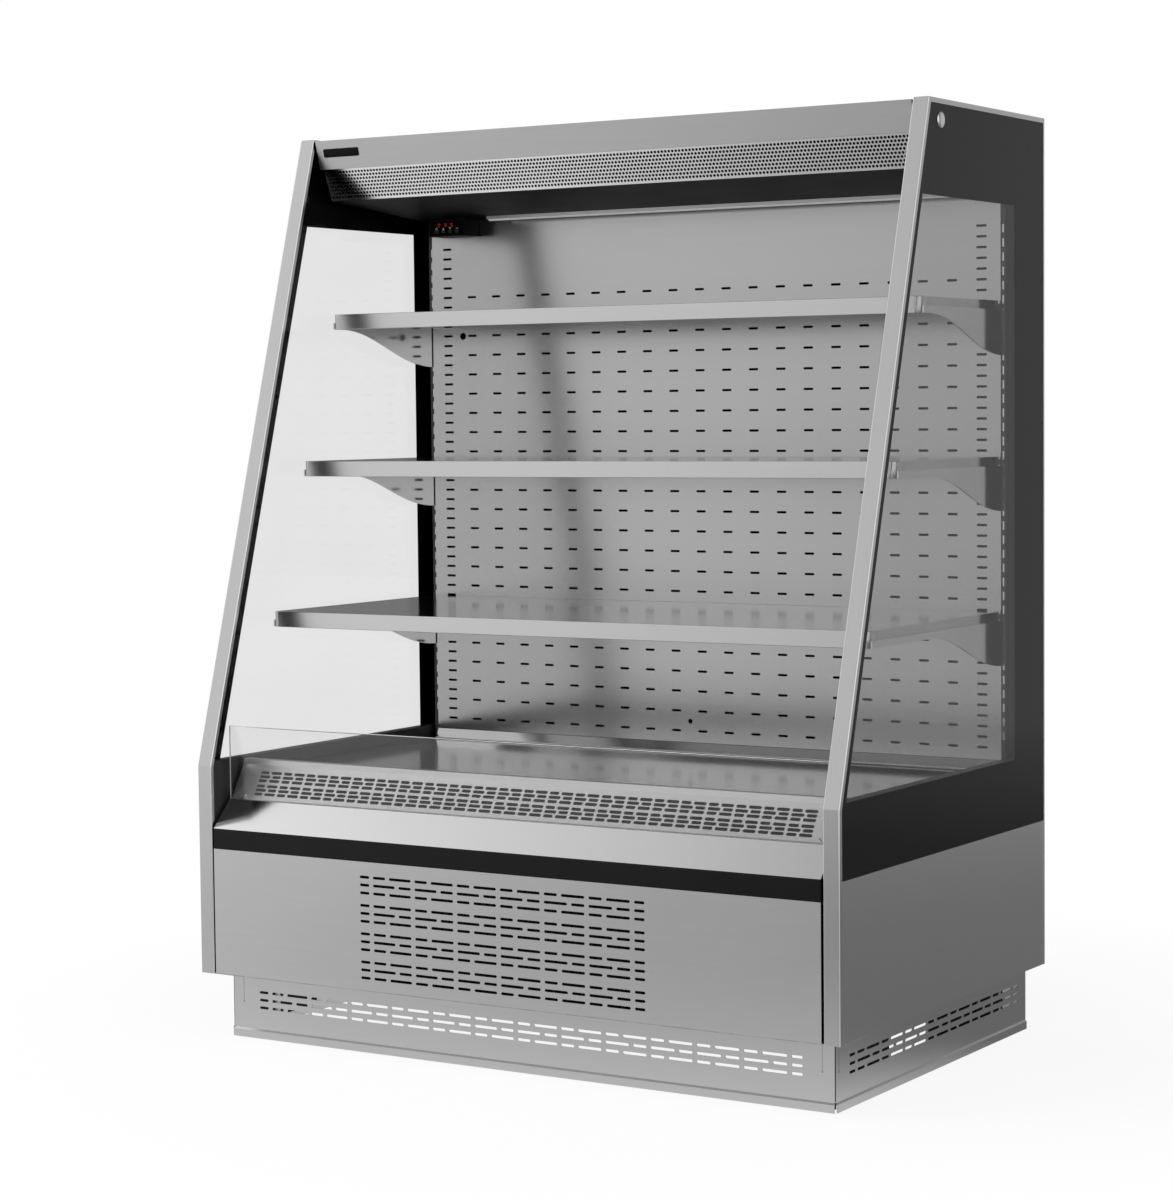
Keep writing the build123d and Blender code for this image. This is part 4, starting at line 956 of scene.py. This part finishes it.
def plinthPieces(look):
    seams, lines = [], []
    y, half, proud = behind(look["face"]), look["half"], look["proud"]
    reach, wide = look["postReach"], look["lineWidth"] / 2
    z0, z1 = look["lineLow"], look["lineHigh"]
    lineY = behind(look["sideLine"])
    holes = bmesh.new()

    def onFront(u, v, depth):
        return (u, y - depth, v)

    for sign in (-1, 1):
        x0, x1 = onSide(sign, half - look["seamFront"], half + proud)
        seams.append(((x0, y - proud, look["seamLow"]), (x1, y + look["seamSide"], look["seamHigh"])))
        x0, x1 = onSide(sign, half - reach, half + reach)
        seams.append(((x0, y - reach, look["postLow"]), (x1, y + reach, look["postHigh"])))
        lineX = sign * (half - look["frontLine"])
        lines.append(((lineX - wide, y - proud, z0), (lineX + wide, y + proud, z1)))
        x0, x1 = onSide(sign, half - proud, half + proud)
        lines.append(((x0, lineY - wide, z0), (x1, lineY + wide, z1)))

        def onEnd(u, v, depth):
            return (sign * (half + depth), u, v)

        for z in (z0, z1):
            for across, place in ((lineX, onFront), (lineY, onEnd)):
                addPlate(holes, ring((across, z), look["hole"], look["holeCorners"]), place, 2 * proud)
    addBoxes("plinth_seams", "cabinet", "seamDark", seams)
    addBoxes("plinth_press_lines", "cabinet", "seamGrey", lines)
    addPiece(holes, "plinth_pin_holes", "cabinet", "seamDark")


plinthPieces(plinthMarks)

# domed caps of the sides
capDome = {
    "levels": 8,
    "around": 40,
    "studRadius": 0.0045,
    "seat": 0.6488,  # from the middle
    "studEnd": 0.6205,
}


def domedCaps(look):
    low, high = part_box("side_caps")
    centre = ((low.y + high.y) / 2, (low.z + high.z) / 2)
    seat, stud, around = look["seat"], look["studRadius"], look["around"]
    radius, height = (high.y - low.y) / 2, high.x - seat
    profile = [(look["studEnd"], stud), (seat, stud), (seat, radius)]
    for level in range(1, look["levels"]):
        angle = math.pi / 2 * level / look["levels"]
        profile.append((seat + height * math.sin(angle), radius * math.cos(angle)))
    shape = bmesh.new()
    for sign in (-1, 1):
        rings = []
        for x, wide in profile:
            rings.append([shape.verts.new((sign * x, u, v)) for u, v in ring(centre, wide, around)])
        addSleeve(shape, rings)
        tip = shape.verts.new((sign * (seat + height), *centre))
        for i in range(around):
            shape.faces.new((rings[-1][i - 1], rings[-1][i], tip))
        shape.faces.new(rings[0])
    caps = addPiece(shape, "side_caps_domed", "cabinet", "chrome")
    for face in caps.data.polygons:
        face.use_smooth = len(face.vertices) < 5  # all but the flat ends of the studs
    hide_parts("side_caps")


domedCaps(capDome)

# painted shade: dark pieces put where the plinth's slots show shade, a tray under the base pan shaped as a
# condensate tray and stiffeners inside the plinth's ends
condensateShade = {"low": (0.36, -0.12, 0.0450), "high": (0.46, 0.10, 0.0880), "wall": 0.0015}
shadeStiffeners = {
    "across": (0.5985, 0.6000),  # from the middle
    "along": ((-0.335, -0.130), (0.020, 0.330)),
    "height": (0.020, 0.100),
}


def condensateShadeTray(look):
    low, high, wall = look["low"], look["high"], look["wall"]
    boxes = [
        (low, (high[0], high[1], low[2] + wall)),
        (low, (low[0] + wall, high[1], high[2])),
        ((high[0] - wall, low[1], low[2]), high),
        (low, (high[0], low[1] + wall, high[2])),
        ((low[0], high[1] - wall, low[2]), high),
    ]
    # black, as painted shade seen through the plinth's slots
    addBoxes("condensate_shade_tray", "cabinet", "blackPlastic", boxes)


def plinthShadeStiffeners(look):
    z0, z1 = look["height"]
    boxes = []
    for sign in (1, -1):
        x0, x1 = onSide(sign, *look["across"])
        boxes += [((x0, y0, z0), (x1, y1, z1)) for y0, y1 in look["along"]]
    # dark, as painted shade behind the slots in the plinth's ends
    addBoxes("plinth_shade_stiffeners", "cabinet", "darkLiner", boxes)


condensateShadeTray(condensateShade)
plinthShadeStiffeners(shadeStiffeners)
print("strips, edges, marks, caps and tray added")

# screws on the rear cover, with low domed heads and a cross cut
screws = {
    "radius": 0.0042,
    "height": 0.0022,
    "inset": 0.016,
    "count": 7,  # in each of the two rows
    "profile": ((1.0, 0.0), (0.97, 0.35), (0.8, 0.75), (0.5, 0.95), (0.28, 1.0), (0.22, 0.45)),
    "corners": 16,
    "cutWithin": 0.3,  # shares of the radius
    "cutArm": 1.7,
}


def addScrewHead(shape, centre, look):
    corners = look["corners"]
    rings = []
    for share, lift in look["profile"]:
        level = []
        for i in range(corners):
            wide = share * look["radius"]
            if share < look["cutWithin"] and i % (corners // 4) == 0:
                wide *= look["cutArm"]
            angle = 2 * math.pi * i / corners
            spot = centre + Vector((math.cos(angle), 0.0, -math.sin(angle))) * wide
            level.append(shape.verts.new(spot + Vector((0.0, look["height"] * lift, 0.0))))
        rings.append(level)
    addSleeve(shape, rings)
    shape.faces.new(rings[-1])
    shape.faces.new(rings[0][::-1])


def coverScrews(look):
    low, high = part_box("rear_cover")
    inset = look["inset"]
    pace = (high.x - low.x - 2 * inset) / (look["count"] - 1)
    shape = bmesh.new()
    for z in (low.z + inset, high.z - inset):
        for i in range(look["count"]):
            addScrewHead(shape, Vector((low.x + inset + i * pace, high.y, z)), look)
    addPiece(shape, "cover_screws", "cabinet", "footSteel")


coverScrews(screws)
print("screws set")

# floor and light
studio = {
    "floorSize": 24.0,
    "floorGap": 0.0002,  # below the part
    "floorTone": 0.74,
    "floorWhite": 1.02,  # strength of its glow
    "floorGlow": 0.88,  # share of the floor's white that no shadow takes, beside the object
    "shadowReach": (0.9, 2.0),  # from the middle, where the floor's shadow fades out
    "brightRoom": (-0.80, -0.50, 0.20),  # the side of the room that is bright in the metal
    "roomTones": ((0.0, 0.16), (0.50, 0.22), (0.80, 0.32), (0.86, 0.42), (0.90, 0.64), (0.95, 0.86)),
    "softboxes": (
        {"way": (-0.80, -0.05, 0.60), "edge": (0.86, 0.99), "tone": 0.75},
        {"way": (0.75, -0.66, 0.05), "edge": (0.50, 0.86), "tone": 0.85},  # bright lines along the folds
        {"way": (0.53, 0.85, 0.10), "edge": (0.80, 0.95), "tone": 0.35},  # in the arms of the brackets
    ),
}
# the floor as the metal mirrors it: painted light, with a painted dim spot in front and painted shade
# behind the right side
paintedFloorInMetal = {
    "dimSpot": (0.0, -2.2, 0.0),
    "dimReach": (0.3, 1.9),  # from the middle of the dim spot
    "dimTones": (0.24, 0.72),
    "behindWay": (0.7, 0.7, 0.0),  # painted shade: the floor darkens behind the right side in what the metal mirrors
    "behindReach": (0.25, 0.65),
    "behindTones": (0.72, 0.20),
    "farReach": (3.0, 6.0),  # where it takes on the tone of the room
}
lampAim = (0.0, 0.0, 0.8)  # the middle of the object
lamps = {
    "key": {"place": (-3.4, -3.6, 3.4), "size": 3.0, "power": 120.0},
    "fill": {"place": (3.6, -3.0, 2.8), "size": 3.0, "power": 25.0},
    "top": {"place": (0.0, -0.6, 4.2), "size": 3.5, "power": 60.0},
}


def roomLight(tree, direction, look):
    # what the metal mirrors: a room with a bright and a dark side, and the softboxes in it
    brightWay = Vector(look["brightRoom"]).normalized()
    facing = vectorMathOf(tree, "DOT_PRODUCT", direction, brightWay)
    ramp = addNode(tree, "ShaderNodeValToRGB", ranged(tree, facing, 0.0, 1.0, -1.0, 1.0))
    stops = ramp.color_ramp.elements
    tones = look["roomTones"]
    stops[0].position, stops[-1].position = tones[0][0], tones[-1][0]
    for place, _ in tones[1:-1]:
        stops.new(place)
    for stop, (place, tone) in zip(stops, tones):
        stop.position = place
        stop.color = grey(tone)
    total = ramp.outputs["Color"]
    for box in look["softboxes"]:
        facing = vectorMathOf(tree, "DOT_PRODUCT", direction, Vector(box["way"]).normalized())
        total = vectorMathOf(tree, "ADD", total, ranged(tree, facing, 0.0, box["tone"], *box["edge"]))
    return total


def floorWhite(look, paintedInMetal):
    # white with a soft shadow to the camera; in the metal it glows with painted light and shade, dim in
    # front and darker behind the right side
    made, tree, shader = newMaterial("floorWhite")
    feedAll(tree, shader, {
        "Base Color": grey(look["floorTone"]),
        "Roughness": 1.0,
        "Specular IOR Level": 0.0,
    })
    places = ownCoordinates(tree)
    reach = vectorMathOf(tree, "LENGTH", places)
    apart = vectorMathOf(tree, "DISTANCE", places, paintedInMetal["dimSpot"])
    behindFacing = vectorMathOf(tree, "DOT_PRODUCT", places, paintedInMetal["behindWay"])
    front = ranged(tree, apart, *paintedInMetal["dimTones"], *paintedInMetal["dimReach"])
    back = ranged(tree, behindFacing, *paintedInMetal["behindTones"], *paintedInMetal["behindReach"])
    near = mathOf(tree, "MINIMUM", front, back)
    far = roomLight(tree, vectorMathOf(tree, "NORMALIZE", places), look)
    tones = mixColours(tree, ranged(tree, reach, 0.0, 1.0, *paintedInMetal["farReach"]), near, far)
    # painted light and shade: the glow that the metal mirrors in place of the lit floor
    paintedMirrorFloor = addNode(tree, "ShaderNodeEmission", Color=tones)
    lit = mixShaders(tree, mirrored(tree), shader.outputs[0], paintedMirrorFloor.outputs[0])
    glow = addNode(tree, "ShaderNodeEmission", Strength=look["floorWhite"])
    unshaded = ranged(tree, reach, look["floorGlow"], 1.0, *look["shadowReach"])
    share = mathOf(tree, "MULTIPLY", seenStraight(tree), unshaded)
    surface = mixShaders(tree, share, lit, glow.outputs[0])
    feed(tree, surface, tree.nodes["Material Output"].inputs["Surface"])
    return made


def addFloor(look, paintedInMetal):
    half = look["floorSize"] / 2
    level = cadLow.z - look["floorGap"]
    corners = ((-half, -half), (half, -half), (half, half), (-half, half))
    shape = bmesh.new()
    shape.faces.new([shape.verts.new((x, y, level)) for x, y in corners])
    mesh = meshFrom(shape, "floor")
    mesh.materials.append(floorWhite(look, paintedInMetal))
    floor = bpy.data.objects.new("floor", mesh)
    bpy.context.scene.collection.objects.link(floor)


def addWorld(look):
    world = bpy.data.worlds.new("studio")
    world.use_nodes = True
    world.cycles.sampling_method = "NONE"  # or its light would count twice through the panes' shadow pass
    bpy.context.scene.world = world
    tree = world.node_tree
    tree.nodes.clear()
    direction = addNode(tree, "ShaderNodeTexCoord").outputs["Generated"]
    white = addNode(tree, "ShaderNodeBackground", Color=grey(1.0), Strength=1.0)
    room = addNode(tree, "ShaderNodeBackground", Color=roomLight(tree, direction, look), Strength=1.0)
    surface = mixShaders(tree, seenStraight(tree), room.outputs[0], white.outputs[0])
    addNode(tree, "ShaderNodeOutputWorld", Surface=surface)


def addLamp(name, look):
    data = bpy.data.lights.new(name, "AREA")
    data.shape = "DISK"
    data.size = look["size"]
    data.energy = look["power"]
    lamp = bpy.data.objects.new(name, data)
    lamp.location = look["place"]
    lamp.visible_glossy = False  # metal mirrors the room, not the lamps
    lamp.visible_transmission = False
    aim = Vector(lampAim) - Vector(look["place"])
    lamp.rotation_euler = aim.to_track_quat("-Z", "Y").to_euler()
    bpy.context.scene.collection.objects.link(lamp)


addFloor(studio, paintedFloorInMetal)
addWorld(studio)
for lampName, look in lamps.items():
    addLamp(lampName, look)
print("floor and light set")
